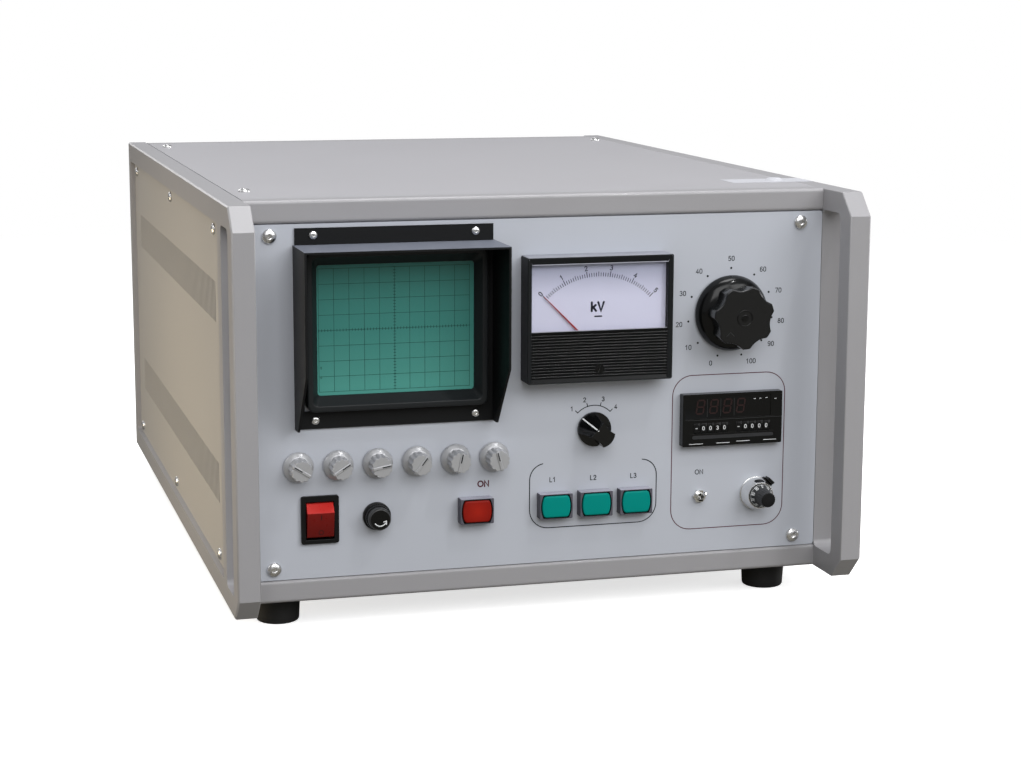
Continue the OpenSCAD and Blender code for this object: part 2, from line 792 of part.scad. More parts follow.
// Toroid winding on a core, with its mounting plate against the panel
module variac_coil() color([0.72, 0.45, 0.25])
    on_panel(output_x, output_z, -panel_t) mirror([0, 0, 1]) difference() {
        union() {
            cylinder(r = 26, h = coil_y - panel_t);
            translate([0, 0, coil_y - panel_t - join]) rotate_extrude()
                translate([(variac_r + 12) / 2, coil_h / 2 + join / 2])
                    round_rect(variac_r - 12, coil_h + join, 5);
            translate([0, 0, coil_y - panel_t - join]) cylinder(r = 14, h = coil_h - 6);
        }
        translate([0, 0, -1]) cylinder(r = output_shaft_r + run_gap, h = coil_h + 20);
    }

// Bar knob on a round base: a cone nose, a full-height tail, two scooped flanks
range_h = 15;
range_base = 2;
nose_top = 2.8;
tail_r = 10.2;
scoop_r = 15.4;
scoop_turn = 100;

module range_knob() color([0.07, 0.07, 0.08])
    on_panel(range_x, range_z, 0.5) rotate([0, 0, -range_angle]) {
        cylinder(r = range_r, h = range_base);
        difference() {
            union() {
                rotate_extrude() polygon([
                    [0, 0], [range_r, 0], [range_r, range_base], [nose_top, range_h],
                    [0, range_h]
                ]);
                linear_extrude(range_h) intersection() {
                    circle(tail_r);
                    translate([-tail_r, -tail_r]) square([2 * tail_r, tail_r + nose_top]);
                }
            }
            for (side = [-1, 1]) rotate(side * scoop_turn)
                translate([0, scoop_r + 5.6, range_base])
                    cylinder(r = scoop_r, h = range_h, $fn = 96);
        }
        translate([0, 0, -14]) cylinder(r = spindle_r, h = 14 + join);
    }

// Trim knob: skirt, fluted grip with a flat pointer ridge, and its spindle
flutes = 12;

module trim_knob(i) color([0.74, 0.75, 0.76])
    on_panel(trim_place(i), trim_z, 0.5) rotate([0, 0, -trim_angles[i]]) {
        difference() {
            union() {
                rotate_extrude() polygon([
                    [0, 0], [trim_r, 0], [trim_r, 1], [trim_r - 1.1, 2.6], [7.3, 3.6],
                    [6.9, trim_h - 1.2], [6.5, trim_h - 0.6], [0, trim_h - 0.6]
                ]);
                translate([-0.9, -6, trim_h - 1.2]) cube([1.8, 12, 1.2]);
            }
            for (k = [0 : flutes - 1])
                rotate((k + 0.5) * 360 / flutes)
                    translate([0, 8.1, 4.4]) cylinder(r = 1.5, h = trim_h);
        }
        translate([0, 0, -14]) cylinder(r = spindle_r, h = 14 + join);
    }

module intensity_knob() trim_knob(0);
module focus_knob() trim_knob(1);
module vertical_knob() trim_knob(2);
module horizontal_knob() trim_knob(3);
module sweep_knob() trim_knob(4);
module rotation_knob() trim_knob(5);

// Body of a turning control behind the panel: can, bush and spindle bore
module control_body(r, len)
    difference() {
        union() {
            translate([0, 0, -panel_t - len]) cylinder(r = r, h = len);
            translate([0, 0, -panel_t - join]) cylinder(r = spindle_r + 1.4, h = panel_t + join);
        }
        translate([0, 0, -17]) cylinder(r = spindle_r + run_gap, h = 30);
    }

// The seven potentiometers, the range switch and the toggle body
toggle_lean = 20;
toggle_pivot_d = 1;
toggle_pin_r = 0.8;
toggle_pin_len = 5.2;
toggle_len = 13.4;

module control_bodies() color([0.35, 0.36, 0.38]) {
    for (i = [0 : 5])
        on_panel(trim_place(i), trim_z) control_body(8.5, 13);
    on_panel(range_x, range_z) control_body(15, 24);
    on_panel(dial_x, row_z) control_body(11, 30);
    on_panel(toggle_x, row_z) difference() {
        union() {
            translate([-6.5, -6.5, -panel_t - 11]) cube([13, 13, 11]);
            translate([0, 0, -panel_t - join]) cylinder(r = 3, h = panel_t + 5);
            cylinder(r = 4.6, h = 2, $fn = 6);
        }
        translate([0, 0, -5]) cylinder(r = 2.1, h = 20);
        translate([0, 0, 2.6]) rotate([0, 0, 90])
            cube([5.4, 2.6, 8], center = true);
        translate([0, 0, toggle_pivot_d]) rotate([0, 90, 0])
            cylinder(r = toggle_pin_r + run_gap, h = toggle_pin_len + 2 * join, center = true);
    }
}

// Bat lever of the toggle switch, standing up at its rest
module toggle_lever() color([0.88, 0.88, 0.89])
    on_panel(toggle_x, row_z, toggle_pivot_d) rotate([-toggle_lean, 0, 0]) {
        sphere(1.7, $fn = 32);
        rotate([0, 90, 0]) cylinder(r = toggle_pin_r, h = toggle_pin_len, center = true);
        rotate_extrude() polygon([
            [0, 0], [0.8, 0], [0.9, 4.6], [1.4, toggle_len - 2], [1.3, toggle_len - 0.6],
            [0.7, toggle_len], [0, toggle_len]
        ]);
    }

// Power switch: rim, body, and a well for the rocker
rocker_w = 17.8;
rocker_r = 12.2;
rocker_pivot_d = -3;
rocker_drop = 0.6;
pin_r = 1.4;

module power_switch() color([0.08, 0.08, 0.09])
    on_panel(power_x, row_z) difference() {
        union() {
            linear_extrude(2.4) round_rect(power_w, power_h, 1.6);
            translate([0, 0, -32]) linear_extrude(32 + join)
                square([power_w - 4, power_h - 4], center = true);
        }
        translate([0, -rocker_drop, rocker_pivot_d])
            rotate([0, 90, 0]) cylinder(r = rocker_r + 0.4, h = rocker_w + 0.8, center = true);
        translate([-rocker_w / 2 - 0.4, -rocker_drop - rocker_r - 0.4, rocker_pivot_d])
            cube([rocker_w + 0.8, 2 * rocker_r + 0.8, 10]);
        translate([0, -rocker_drop, rocker_pivot_d]) rotate([0, 90, 0])
            cylinder(r = pin_r + run_gap, h = rocker_w + 2.4, center = true);
    }

// Rocker with a short upper face and a long lower face, pressed at its top
module power_rocker() color([0.78, 0.12, 0.1])
    on_panel(power_x, row_z - rocker_drop, rocker_pivot_d) {
        rotate([0, 0, 90]) rotate([90, 0, 0])
            linear_extrude(rocker_w, center = true) intersection() {
                circle(rocker_r);
                polygon([
                    [rocker_r, 3.6], [5.8, 8.6], [-rocker_r, 5.8],
                    [-rocker_r, 0], [-8, -5], [8, -5], [rocker_r, 0]
                ]);
            }
        rotate([0, 90, 0]) cylinder(r = pin_r, h = rocker_w + 2, center = true);
    }

// Fuse holder: flange, threaded body and the tube that takes the carrier
module fuse_holder() color([0.09, 0.09, 0.1])
    on_panel(fuse_x, row_z) difference() {
        union() {
            cylinder(r = fuse_r, h = 3);
            translate([0, 0, -42]) cylinder(r = fuse_r - 1.8, h = 42 + join);
            translate([0, 0, -panel_t - 5]) cylinder(r = fuse_r + 2, h = 5, $fn = 6);
        }
        translate([0, 0, -36]) cylinder(r = 5.2, h = 50);
    }

// Bayonet cap with a ribbed step and a finger slot, on the carrier stem
module fuse_cap() color([0.07, 0.07, 0.08])
    on_panel(fuse_x, row_z, 3.3) difference() {
        union() {
            rotate_extrude() polygon([
                [0, -36], [3.6, -36], [3.6, -30], [5.14, -29], [5.14, 0], [fuse_r - 0.9, 0],
                [fuse_r - 1.2, 3.8], [7.5, 4.6], [7.2, 8.2], [6.4, 8.8], [0, 8.8]
            ]);
        }
        for (k = [0 : 23]) rotate(k * 15)
            translate([fuse_r - 0.7, 0, 0.6]) cylinder(r = 0.45, h = 2.8, $fn = 6);
    }

// Barrel outline of a button lens: straight top and bottom, bulging sides
bulge_r = 18;

module barrel(w, h)
    intersection() {
        square([w + 1, h], center = true);
        translate([bulge_r - w / 2, 0]) circle(bulge_r);
        translate([w / 2 - bulge_r, 0]) circle(bulge_r);
    }

button_floor = 1.2;
plunger_r = 3;
plunger_len = 10;
lens_crown = 0.85;

// Housing with a floor over its neck, and a bore for the plunger of the lens
module button_housing()
    difference() {
        union() {
            linear_extrude(button_d) round_rect(button_w, button_h, 0.8);
            translate([0, 0, -26]) linear_extrude(26 + join)
                square([button_w - neck_in, button_h - neck_in], center = true);
        }
        translate([0, 0, button_floor]) linear_extrude(button_d)
            barrel(button_w - 1.4, button_h - 1.2);
        translate([0, 0, -plunger_len - button_travel - move_gap])
            cylinder(r = plunger_r + run_gap, h = 30);
    }

module button_housings() color([0.46, 0.47, 0.49])
    for (x = button_places())
        on_panel(x, button_z) button_housing();

// Lens cap with a shallow crown, on a plunger that slides in its housing
module button_lens(x)
    on_panel(x, button_z) {
        lens_w = button_w - 3;
        lens_h = button_h - 2.6;
        low = button_floor + button_travel + move_gap;
        top = button_d + lens_crown;
        difference() {
            translate([0, 0, low]) linear_extrude(top - low) barrel(lens_w, lens_h);
            for (sz = [-1, 1])
                translate([0, sz * lens_h / 2, top])
                    rotate([-sz * 28, 0, 0]) cube([button_w, 3, 1.4], center = true);
        }
        translate([0, 0, -plunger_len]) cylinder(r = plunger_r, h = low + plunger_len + join);
    }

module hv_button() color([0.75, 0.16, 0.1]) button_lens(hv_x);
module line_button_1() color([0.06, 0.55, 0.5]) button_lens(line_x);
module line_button_2() color([0.06, 0.55, 0.5]) button_lens(line_x + line_pitch);
module line_button_3() color([0.06, 0.55, 0.5]) button_lens(line_x + 2 * line_pitch);

// Comparator case: rim, body, two wells with their axles, a slot over each wheel
module comparator_case() color([0.09, 0.09, 0.1]) {
    well_w = 5 * wheel_pitch + 0.3;
    on_panel(comp_x, comp_z) difference() {
        union() {
            linear_extrude(comp_d) round_rect(comp_w, comp_h, 0.8);
            translate([0, 0, -88]) linear_extrude(88 + join)
                square([comp_w - 4.6, comp_h - 3.6], center = true);
        }
        for (g = [0, 1]) {
            mid = wheel_first[g] + 2 * wheel_pitch;
            translate([mid - well_w / 2, wheel_z - comp_z - wheel_r - 0.6,
                    wheel_axis_d - wheel_r - 0.6])
                cube([well_w, 2 * wheel_r + 1.2, wheel_reach + wheel_r + 0.6]);
            for (i = [0 : 4])
                translate([wheel_first[g] + i * wheel_pitch, wheel_z - comp_z, comp_d - 1])
                    cube([wheel_w + 0.3, slot_h, 6], center = true);
        }
        translate([-3.4, 8.4, comp_d]) cube([comp_w - 10, 15.6, 1.2], center = true);
    }
    for (g = [0, 1])
        on_panel(wheel_place(g, 2), wheel_z, wheel_axis_d) rotate([0, 90, 0])
            cylinder(r = axle_r, h = well_w + 1, center = true);
}

// Ten-sided number wheel with a toothed edge, turning on the axle
tooth_w = 1;

module number_wheel(group, i)
    on_panel(wheel_place(group, i), wheel_z, wheel_axis_d) rotate([0, 90, 0]) difference() {
        union() {
            rotate(18) translate([0, 0, -wheel_w / 2])
                cylinder(r = wheel_r, h = wheel_w - tooth_w, $fn = 10);
            translate([0, 0, wheel_w / 2 - tooth_w - join])
                cylinder(r = wheel_r - 0.8, h = tooth_w + join);
            for (k = [0 : 9]) rotate(18 + k * 36)
                translate([wheel_r - 1, -0.7, wheel_w / 2 - tooth_w - join])
                    cube([1 + wheel_tooth - 0.03, 1.4, tooth_w + join]);
        }
        cylinder(r = axle_r + run_gap, h = wheel_w + 1, center = true);
    }

module high_wheel_1() color([0.85, 0.85, 0.85]) number_wheel(0, 0);
module high_wheel_2() color([0.85, 0.85, 0.85]) number_wheel(0, 1);
module high_wheel_3() color([0.85, 0.85, 0.85]) number_wheel(0, 2);
module high_wheel_4() color([0.85, 0.85, 0.85]) number_wheel(0, 3);
module high_wheel_5() color([0.85, 0.85, 0.85]) number_wheel(0, 4);
module low_wheel_1() color([0.85, 0.85, 0.85]) number_wheel(1, 0);
module low_wheel_2() color([0.85, 0.85, 0.85]) number_wheel(1, 1);
module low_wheel_3() color([0.85, 0.85, 0.85]) number_wheel(1, 2);
module low_wheel_4() color([0.85, 0.85, 0.85]) number_wheel(1, 3);
module low_wheel_5() color([0.85, 0.85, 0.85]) number_wheel(1, 4);

// Turns dial: chrome shell with a cone and a counter window, fixed to the panel
lock_angle = 44;
shell_d = 4.8;
cone_r = 9;
cone_d = 11;
ring_r = 8.1;

module dial_body() color([0.86, 0.86, 0.87])
    on_panel(dial_x, row_z) difference() {
        union() {
            cylinder(r = dial_r + 0.4, h = 1.2);
            rotate_extrude() polygon([
                [0, 1], [dial_r, 1], [dial_r, shell_d], [cone_r, cone_d], [0, cone_d]
            ]);
        }
        translate([0, 0, -1]) cylinder(r = spindle_r + 1.5, h = 10);
        translate([0, 0, 6]) cylinder(r = ring_r + 0.4, h = 10);
        translate([-3.6, cone_r + 0.2, 7]) cube([7.2, 1.5, 6]);
    }

// Numbered ring, black knob and spindle of the turns dial
module dial_knob() color([0.1, 0.1, 0.11])
    on_panel(dial_x, row_z) difference() {
        union() {
            translate([0, 0, 6.4]) cylinder(r = ring_r, h = cone_d - 6.2);
            rotate_extrude() polygon([
                [0, 10], [ring_r, cone_d + 0.2], [6, 14.5], [5.5, 15.5],
                [5.4, dial_len - 0.7], [4.8, dial_len], [0, dial_len]
            ]);
            translate([0, 0, -13.5]) cylinder(r = spindle_r, h = 22);
        }
        for (k = [0 : 15]) rotate(k * 22.5)
            translate([5.7, 0, 15.9]) cylinder(r = 0.5, h = dial_len, $fn = 6);
    }

// Brake lever of the turns dial, on a collar round the shell
module dial_lock() color([0.1, 0.1, 0.11])
    on_panel(dial_x, row_z, 1.5) rotate([0, 0, -lock_angle]) {
        intersection() {
            ring(dial_r + 1.4, dial_r + run_gap, 3);
            translate([-4, 0, 0]) cube([8, 20, 4]);
        }
        translate([-2.6, dial_r + 0.7, 0]) cube([5.2, 1.8, 6.5]);
    }

// Iron core with windings on the bottom cover
module power_transformer() color([0.4, 0.38, 0.36])
    translate([95, 150, z_low + sheet_t]) {
        difference() {
            translate([-50, -30, 0]) cube([100, 60, 84]);
            for (sx = [-1, 1])
                translate([sx * 25 - 8, -31, 18]) cube([16, 62, 48]);
        }
        for (sy = [-1, 1])
            translate([0, sy * 36, 42]) cube([80, 12.2, 46], center = true);
        translate([-56, -34, 0]) cube([112, 68, 4]);
    }

// Oil filled surge capacitor: flat can with two ceramic terminals
module surge_capacitor() color([0.62, 0.63, 0.6])
    translate([-110, 110, z_low + sheet_t]) {
        linear_extrude(96) round_rect(110, 46, 10);
        for (sx = [-1, 1])
            translate([sx * 30, 0, 95.8]) rotate_extrude() polygon([
                [0, 0], [11, 0], [11, 3], [7, 5], [9, 8], [6, 11], [8, 14], [5, 17],
                [3, 18], [3, 26], [0, 26]
            ]);
    }

// Control board on four posts, and the sweep board that stands beside the tube
module circuit_boards() color([0.1, 0.38, 0.22]) {
    translate([40, -70, z_low + sheet_t]) {
        for (sx = [-1, 1], sy = [-1, 1])
            translate([sx * 62, sy * 82, 0]) cylinder(r = 3.5, h = 12.1);
        translate([-70, -90, 12]) cube([140, 180, 1.6]);
        translate([-40, -60, 13.5]) cube([30, 14, 8]);
        translate([10, -40, 13.5]) cube([44, 26, 12]);
        for (i = [0 : 3])
            translate([-46 + i * 18, 40, 13.5]) cylinder(r = 7, h = 22);
    }
    translate([17 - x_in, -60, z_low + sheet_t]) {
        translate([0, -75, 0]) cube([12, 150, 2]);
        translate([0, -75, 0]) cube([1.6, 150, 120]);
        for (i = [0 : 4])
            translate([1.5, -55 + i * 26, 40]) rotate([0, 90, 0]) cylinder(r = 6, h = 14);
    }
}

// Three-pin mains inlet on the rear panel
module mains_inlet() color([0.1, 0.1, 0.1])
    on_rear(inlet_x, inlet_z) {
        difference() {
            union() {
                linear_extrude(2.4) round_rect(inlet_w, inlet_h, 3);
                translate([0, 0, -20]) linear_extrude(20 + join)
                    square([27.6, 19.6], center = true);
            }
            translate([0, 0, -16]) linear_extrude(20) polygon([
                [-11.8, -7.6], [11.8, -7.6], [11.8, 4.6], [8.2, 7.8], [-8.2, 7.8], [-11.8, 4.6]
            ]);
        }
        for (sx = [-1, 1]) translate([sx * 20, 0, 2.4 - join])
            rotate_extrude() intersection() {
                translate([0, -2.2]) circle(3.6);
                square([2.7, 1.4 + join]);
            }
        for (p = [[-7, -1], [0, 2.6], [7, -1]])
            translate([p[0] - 1, p[1] - 2, -16.2]) cube([2, 4, 12.2]);
    }

// Four shrouded high voltage sockets for the test leads
module output_sockets() color([0.12, 0.12, 0.12])
    for (i = [0 : 3])
        on_rear(socket_x + i * socket_pitch, socket_z) {
            difference() {
                union() {
                    cylinder(r = socket_r, h = 7);
                    translate([0, 0, -24]) cylinder(r = socket_r - 2.2, h = 24 + join);
                    translate([0, 0, -panel_t - 6]) cylinder(r = socket_r + 2, h = 6, $fn = 6);
                }
                translate([0, 0, -18]) cylinder(r = 6.5, h = 30);
            }
            translate([0, 0, -18.2]) cylinder(r = 2, h = 18);
        }

side_frame_left();
side_frame_right();
side_panels();
cross_rails();
top_cover();
bottom_cover();
front_panel();
rear_panel();
feet();
panel_screws();
case_screws();
crt_hood();
crt_bezel();
graticule();
crt_tube();
meter_case();
meter_glass();
meter_dial();
meter_needle();
zero_screw();
output_knob();
variac_brush();
variac_coil();
range_knob();
intensity_knob();
focus_knob();
vertical_knob();
horizontal_knob();
sweep_knob();
rotation_knob();
control_bodies();
power_switch();
power_rocker();
fuse_holder();
fuse_cap();
button_housings();
hv_button();
line_button_1();
line_button_2();
line_button_3();
comparator_case();
high_wheel_1();
high_wheel_2();
high_wheel_3();
high_wheel_4();
high_wheel_5();
low_wheel_1();
low_wheel_2();
low_wheel_3();
low_wheel_4();
low_wheel_5();
toggle_lever();
dial_body();
dial_knob();
dial_lock();
power_transformer();
surge_capacitor();
circuit_boards();
mains_inlet();
output_sockets();
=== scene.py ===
"""Looks of a bench surge tester: camera, studio light, finishes, moulded knobs and panel print.

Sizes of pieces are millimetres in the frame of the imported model, whose front panel faces -Y: x to
the right, z up, d in front of the panel's face. Camera, lamps and floor are in metres.
"""
import math

import bmesh
import bpy
import numpy as np
from mathutils import Matrix


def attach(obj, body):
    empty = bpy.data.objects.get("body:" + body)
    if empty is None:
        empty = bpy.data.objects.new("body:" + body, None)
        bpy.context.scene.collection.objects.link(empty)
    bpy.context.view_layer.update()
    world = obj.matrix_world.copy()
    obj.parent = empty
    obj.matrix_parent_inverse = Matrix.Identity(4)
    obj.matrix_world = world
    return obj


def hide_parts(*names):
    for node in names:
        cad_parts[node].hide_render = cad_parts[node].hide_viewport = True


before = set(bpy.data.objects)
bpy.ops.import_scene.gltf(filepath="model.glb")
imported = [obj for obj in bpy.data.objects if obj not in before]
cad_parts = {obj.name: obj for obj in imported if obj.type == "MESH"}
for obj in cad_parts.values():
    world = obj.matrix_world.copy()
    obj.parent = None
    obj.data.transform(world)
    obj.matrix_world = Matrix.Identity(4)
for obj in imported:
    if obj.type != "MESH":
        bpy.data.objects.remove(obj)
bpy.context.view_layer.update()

MM = 0.001
TURN = 2 * math.pi
CASE = "case"
PANEL_Y = -246.0
ROW_Z = 75.3
BUTTON_Z = 75.8
HV_X = -46.8
HOOD_TOP, METER_TOP, HOUSING_TOP = 255.2, 244.3, 84.3
ROCKER_EDGE = 80.4
CARD_SHADE = (214.0, 242.0)


# Shader maths


def feed(tree, slot, value):
    """Sets a socket: a wire is linked, a number or colour becomes its own value."""
    if isinstance(value, Wire):
        tree.links.new(value.socket, slot)
    elif isinstance(value, (tuple, list)):
        whole = len(slot.default_value)
        slot.default_value = (*value, 1.0)[:whole] if len(value) < whole else value[:whole]
    else:
        slot.default_value = value


class Wire:
    """An output socket. Operators between wires and numbers add Math nodes."""

    def __init__(self, tree, socket):
        self.tree = tree
        self.socket = socket

    def maths(self, operation, *values):
        node = self.tree.nodes.new("ShaderNodeMath")
        node.operation = operation
        for slot, value in zip(node.inputs, values):
            feed(self.tree, slot, value)
        return Wire(self.tree, node.outputs[0])

    def __add__(self, other):
        return self.maths("ADD", self, other)

    def __radd__(self, other):
        return self.maths("ADD", other, self)

    def __sub__(self, other):
        return self.maths("SUBTRACT", self, other)

    def __rsub__(self, other):
        return self.maths("SUBTRACT", other, self)

    def __mul__(self, other):
        return self.maths("MULTIPLY", self, other)

    def __rmul__(self, other):
        return self.maths("MULTIPLY", other, self)

    def __gt__(self, other):
        return self.maths("GREATER_THAN", self, other)

    def __lt__(self, other):
        return self.maths("LESS_THAN", self, other)


class Finish:
    """A procedural material. Constants sit on the shader's own sockets, wires feed what varies."""

    def __init__(self, name, fixed):
        self.material = bpy.data.materials.new(name)
        self.material.use_nodes = True
        self.tree = self.material.node_tree
        self.shader = self.tree.nodes["Principled BSDF"]
        self.give(fixed)
        self.place = self.add("ShaderNodeTexCoord", out="Object")

    def give(self, values):
        for name, value in values.items():
            feed(self.tree, self.shader.inputs[name], value)

    def add(self, kind, settings=None, values=None, out=0):
        """Adds a node: settings first, then the values or links of its sockets, then its output."""
        node = self.tree.nodes.new(kind)
        for name, value in (settings or {}).items():
            setattr(node, name, value)
        for slot, value in (values or {}).items():
            feed(self.tree, node.inputs[slot], value)
        return Wire(self.tree, node.outputs[out])

    def noise(self, size_mm, detail=2.0, rough=0.5):
        """Noise whose features are about size_mm across."""
        return self.add("ShaderNodeTexNoise", None,
                        {"Vector": self.place, "Scale": 1000.0 / size_mm, "Detail": detail,
                         "Roughness": rough})

    def blend(self, share, low, high):
        """Colour between low and high by a share from 0 to 1."""
        return self.add("ShaderNodeMix", {"data_type": "RGBA"}, {0: share, 6: low, 7: high}, out=2)

    def relief(self, height, depth_mm):
        return self.add("ShaderNodeBump", None, {"Height": height, "Distance": depth_mm * MM})

    def along(self, axis):
        """One coordinate of the place in the part's frame, in metres: 0 is x, 1 is y, 2 is z."""
        return self.add("ShaderNodeSeparateXYZ", None, {0: self.place}, out=axis)


def shade(colour, factor):
    return tuple(min(1.0, c * factor) for c in colour)


def srgb(text):
    """Linear colour of a six digit hexadecimal one."""
    parts = [int(text[i:i + 2], 16) / 255 for i in (0, 2, 4)]
    return tuple(c / 12.92 if c <= 0.04045 else ((c + 0.055) / 1.055) ** 2.4 for c in parts)


def textured(name, colour, grain, depth, rough, spread=0.05, metal=0.0, coat=0.0, gloss=0.5):
    """Paint or moulded plastic: a fine grain in relief, faint cloudy tone, uneven gloss."""
    f = Finish(name, {"Metallic": metal, "Coat Weight": coat, "Coat Roughness": 0.08,
                      "IOR": 1.46, "Specular IOR Level": gloss})
    fine = f.noise(grain, 3.0, 0.6)
    cloud = f.noise(60.0, 3.0)
    tone = fine * 0.4 + cloud * 0.6
    f.give({"Base Color": f.blend(tone, shade(colour, 1 - spread), shade(colour, 1 + spread)),
            "Roughness": rough - 0.06 + 0.12 * tone,
            "Normal": f.relief(fine, depth)})
    return f.material


def brushed(name, colour, rough, streak=0.12):
    """Plated metal with short scratches in every direction and a little tarnish."""
    f = Finish(name, {"Metallic": 1.0})
    fine = f.noise(0.5, 4.0, 0.7)
    stain = f.noise(5.0, 3.0)
    f.give({"Base Color": f.blend(stain, shade(colour, 0.86), colour),
            "Roughness": rough + streak * fine,
            "Normal": f.relief(fine, 0.006)})
    return f.material


def clear(name, tint, alpha):
    """Thin clear pane: mostly see-through, with a faint film that dulls it here and there."""
    f = Finish(name, {"IOR": 1.5, "Specular IOR Level": 0.5})
    film = f.noise(25.0, 3.0)
    f.give({"Base Color": f.blend(film, shade(tint, 0.96), tint),
            "Roughness": 0.02 + 0.03 * film, "Alpha": alpha + 0.02 * film})
    return f.material


def inked(name, colour):
    """Screen print: near matt, with slightly uneven cover."""
    f = Finish(name, {"Specular IOR Level": 0.3})
    fine = f.noise(0.35, 2.0)
    f.give({"Base Color": f.blend(fine, shade(colour, 0.85), shade(colour, 1.12)),
            "Roughness": 0.5 + 0.2 * fine})
    return f.material


def printed_card(name, colour, shaded, z0, z1):
    """White dial card, shaded a little from z0 up to z1 under the rim of its case."""
    f = Finish(name, {"Specular IOR Level": 0.3})
    rise = f.add("ShaderNodeMapRange", {"interpolation_type": "SMOOTHSTEP"},
                 {0: f.along(2), 1: z0 * MM, 2: z1 * MM})
    grain = f.noise(1.5, 2.0)
    f.give({"Base Color": f.blend(rise, colour, shaded), "Roughness": 0.45 + 0.1 * grain,
            "Normal": f.relief(grain, 0.002)})
    return f.material


def lit_cap(name, edge, centre, x0, z0):
    """Coloured lens of a push button with painted light: a brighter, warmer middle over a darker
    rim, glossy.
    """
    f = Finish(name, {"Specular IOR Level": 0.15, "IOR": 1.49})
    away = f.add("ShaderNodeVectorMath", {"operation": "DISTANCE"},
                 {0: f.place, 1: (x0 * MM, (PANEL_Y - 8) * MM, z0 * MM)}, out="Value")
    haze = f.noise(4.0, 2.0)
    # painted light: brighter towards the middle, darker towards the rim
    f.give({"Base Color": f.blend(away * 85.0 + 0.25 * haze - 0.1, centre, edge),
            "Roughness": 0.3 + 0.12 * haze,
            "Normal": f.relief(f.noise(0.7, 2.0), 0.01)})
    return f.material


def dusty(name, colour, painted_colour, z0, d0):
    """Satin surface with painted light: another colour is painted on what lies above z0 and more
    than d0 off the panel, a lighter sheen on top faces or a darker front face, laid on unevenly.
    """
    f = Finish(name, {"Specular IOR Level": 0.2})
    fine = f.noise(0.7, 3.0)
    # painted light: the zone above z0 and in front of d0 takes the painted colour
    painted_zone = (f.along(2) > z0 * MM) * (f.along(1) < (PANEL_Y - d0) * MM)
    film = painted_zone * (0.8 + 0.4 * f.noise(9.0, 3.0))
    f.give({"Base Color": f.blend(film, colour, painted_colour),
            "Roughness": 0.46 + 0.12 * fine, "Normal": f.relief(fine, 0.012)})
    return f.material


def two_tone(name, low, high, z0):
    """Clear red plastic of the rocker with painted light: dark up to a height z0, the shade painted
    deeper further down, and bright above it where the top facet catches light.
    """
    f = Finish(name, {"Specular IOR Level": 0.2, "IOR": 1.5})
    height = f.along(2)
    haze = f.noise(3.0, 2.0)
    step = f.add("ShaderNodeMapRange", {"clamp": True},
                 {0: height, 1: (z0 - 0.4) * MM, 2: (z0 + 0.4) * MM})
    # painted shade: the face below z0 grows darker the further down it lies
    deep = f.blend((z0 * MM - height) * 60.0 + 0.2 * haze, low, shade(low, 0.62))
    f.give({"Base Color": f.blend(step, deep, high), "Roughness": 0.24 + 0.1 * haze})
    return f.material


# Finishes

frame_paint = textured("frame_paint", srgb("9C9B9E"), 0.9, 0.035, 0.4, 0.05, coat=0.1)
cover_paint = textured("cover_paint", srgb("A3A2A6"), 0.9, 0.035, 0.52, 0.05)
panel_paint = textured("panel_paint", srgb("B9BDC6"), 0.6, 0.012, 0.42, 0.02)
side_paint = textured("side_paint", srgb("A8A5A1"), 0.9, 0.035, 0.55, 0.05)
# Painted sheen: the hood's top face is painted lighter for the light it catches from above.
hood_paint = dusty("hood_paint", (0.005, 0.0055, 0.0062), (0.15, 0.163, 0.2), HOOD_TOP, 1.8)
bezel_plastic = textured("bezel_plastic", srgb("1D2022"), 0.5, 0.012, 0.38, 0.1, gloss=0.3)
gloss_black = textured("gloss_black", (0.004, 0.0043, 0.0045), 0.8, 0.004, 0.16, 0.2, gloss=0.3)
range_black = textured("range_black", (0.004, 0.0043, 0.0047), 0.8, 0.001, 0.1, 0.2, gloss=0.5)
# Painted reflection: the top face of the meter's case is painted light for the panel it mirrors.
meter_black = dusty("meter_black", (0.0085, 0.0098, 0.011), (0.26, 0.27, 0.31), METER_TOP, 0.2)
ribs_black = textured("ribs_black", (0.0035, 0.004, 0.0042), 0.8, 0.004, 0.25, 0.2, gloss=0.2)
satin_black = textured("satin_black", (0.0055, 0.0057, 0.006), 0.5, 0.01, 0.34, 0.2, gloss=0.25)
knob_black = textured("knob_black", (0.0065, 0.007, 0.0078), 0.5, 0.004, 0.16, 0.15, gloss=0.5)
foot_rubber = textured("foot_rubber", (0.012, 0.012, 0.012), 0.8, 0.03, 0.7, 0.2)
knob_silver = textured("knob_silver", srgb("B4B5B8"), 0.5, 0.006, 0.36, 0.04, metal=0.4, coat=0.15)
# Painted reflection: the tops of the button housings are painted light grey for the light they
# catch.
housing_grey = dusty("housing_grey", srgb("56555E"), (0.42, 0.42, 0.49), HOUSING_TOP, 0.3)
screw_steel = brushed("screw_steel", (0.8, 0.8, 0.8), 0.2)
bright_chrome = brushed("bright_chrome", (0.86, 0.86, 0.85), 0.1, 0.08)
dial_chrome = brushed("dial_chrome", (0.9, 0.9, 0.9), 0.2, 0.1)
core_iron = textured("core_iron", (0.06, 0.055, 0.05), 1.0, 0.03, 0.6, 0.2)
coil_copper = textured("coil_copper", srgb("8A4B22"), 0.8, 0.05, 0.35, 0.2, metal=0.6)
brush_brass = brushed("brush_brass", (0.7, 0.52, 0.22), 0.3)
can_paint = textured("can_paint", srgb("9DA09A"), 1.2, 0.02, 0.45, 0.06)
board_green = textured("board_green", srgb("1F5C38"), 2.0, 0.01, 0.4, 0.15)
tube_glass = textured("tube_glass", srgb("5E6B66"), 6.0, 0.01, 0.12, 0.06, coat=0.6)
meter_glass = clear("meter_glass", (0.1, 0.1, 0.11), 0.03)
dial_card = printed_card("dial_card", srgb("DCDDF4"), srgb("A8ACC4"), *CARD_SHADE)
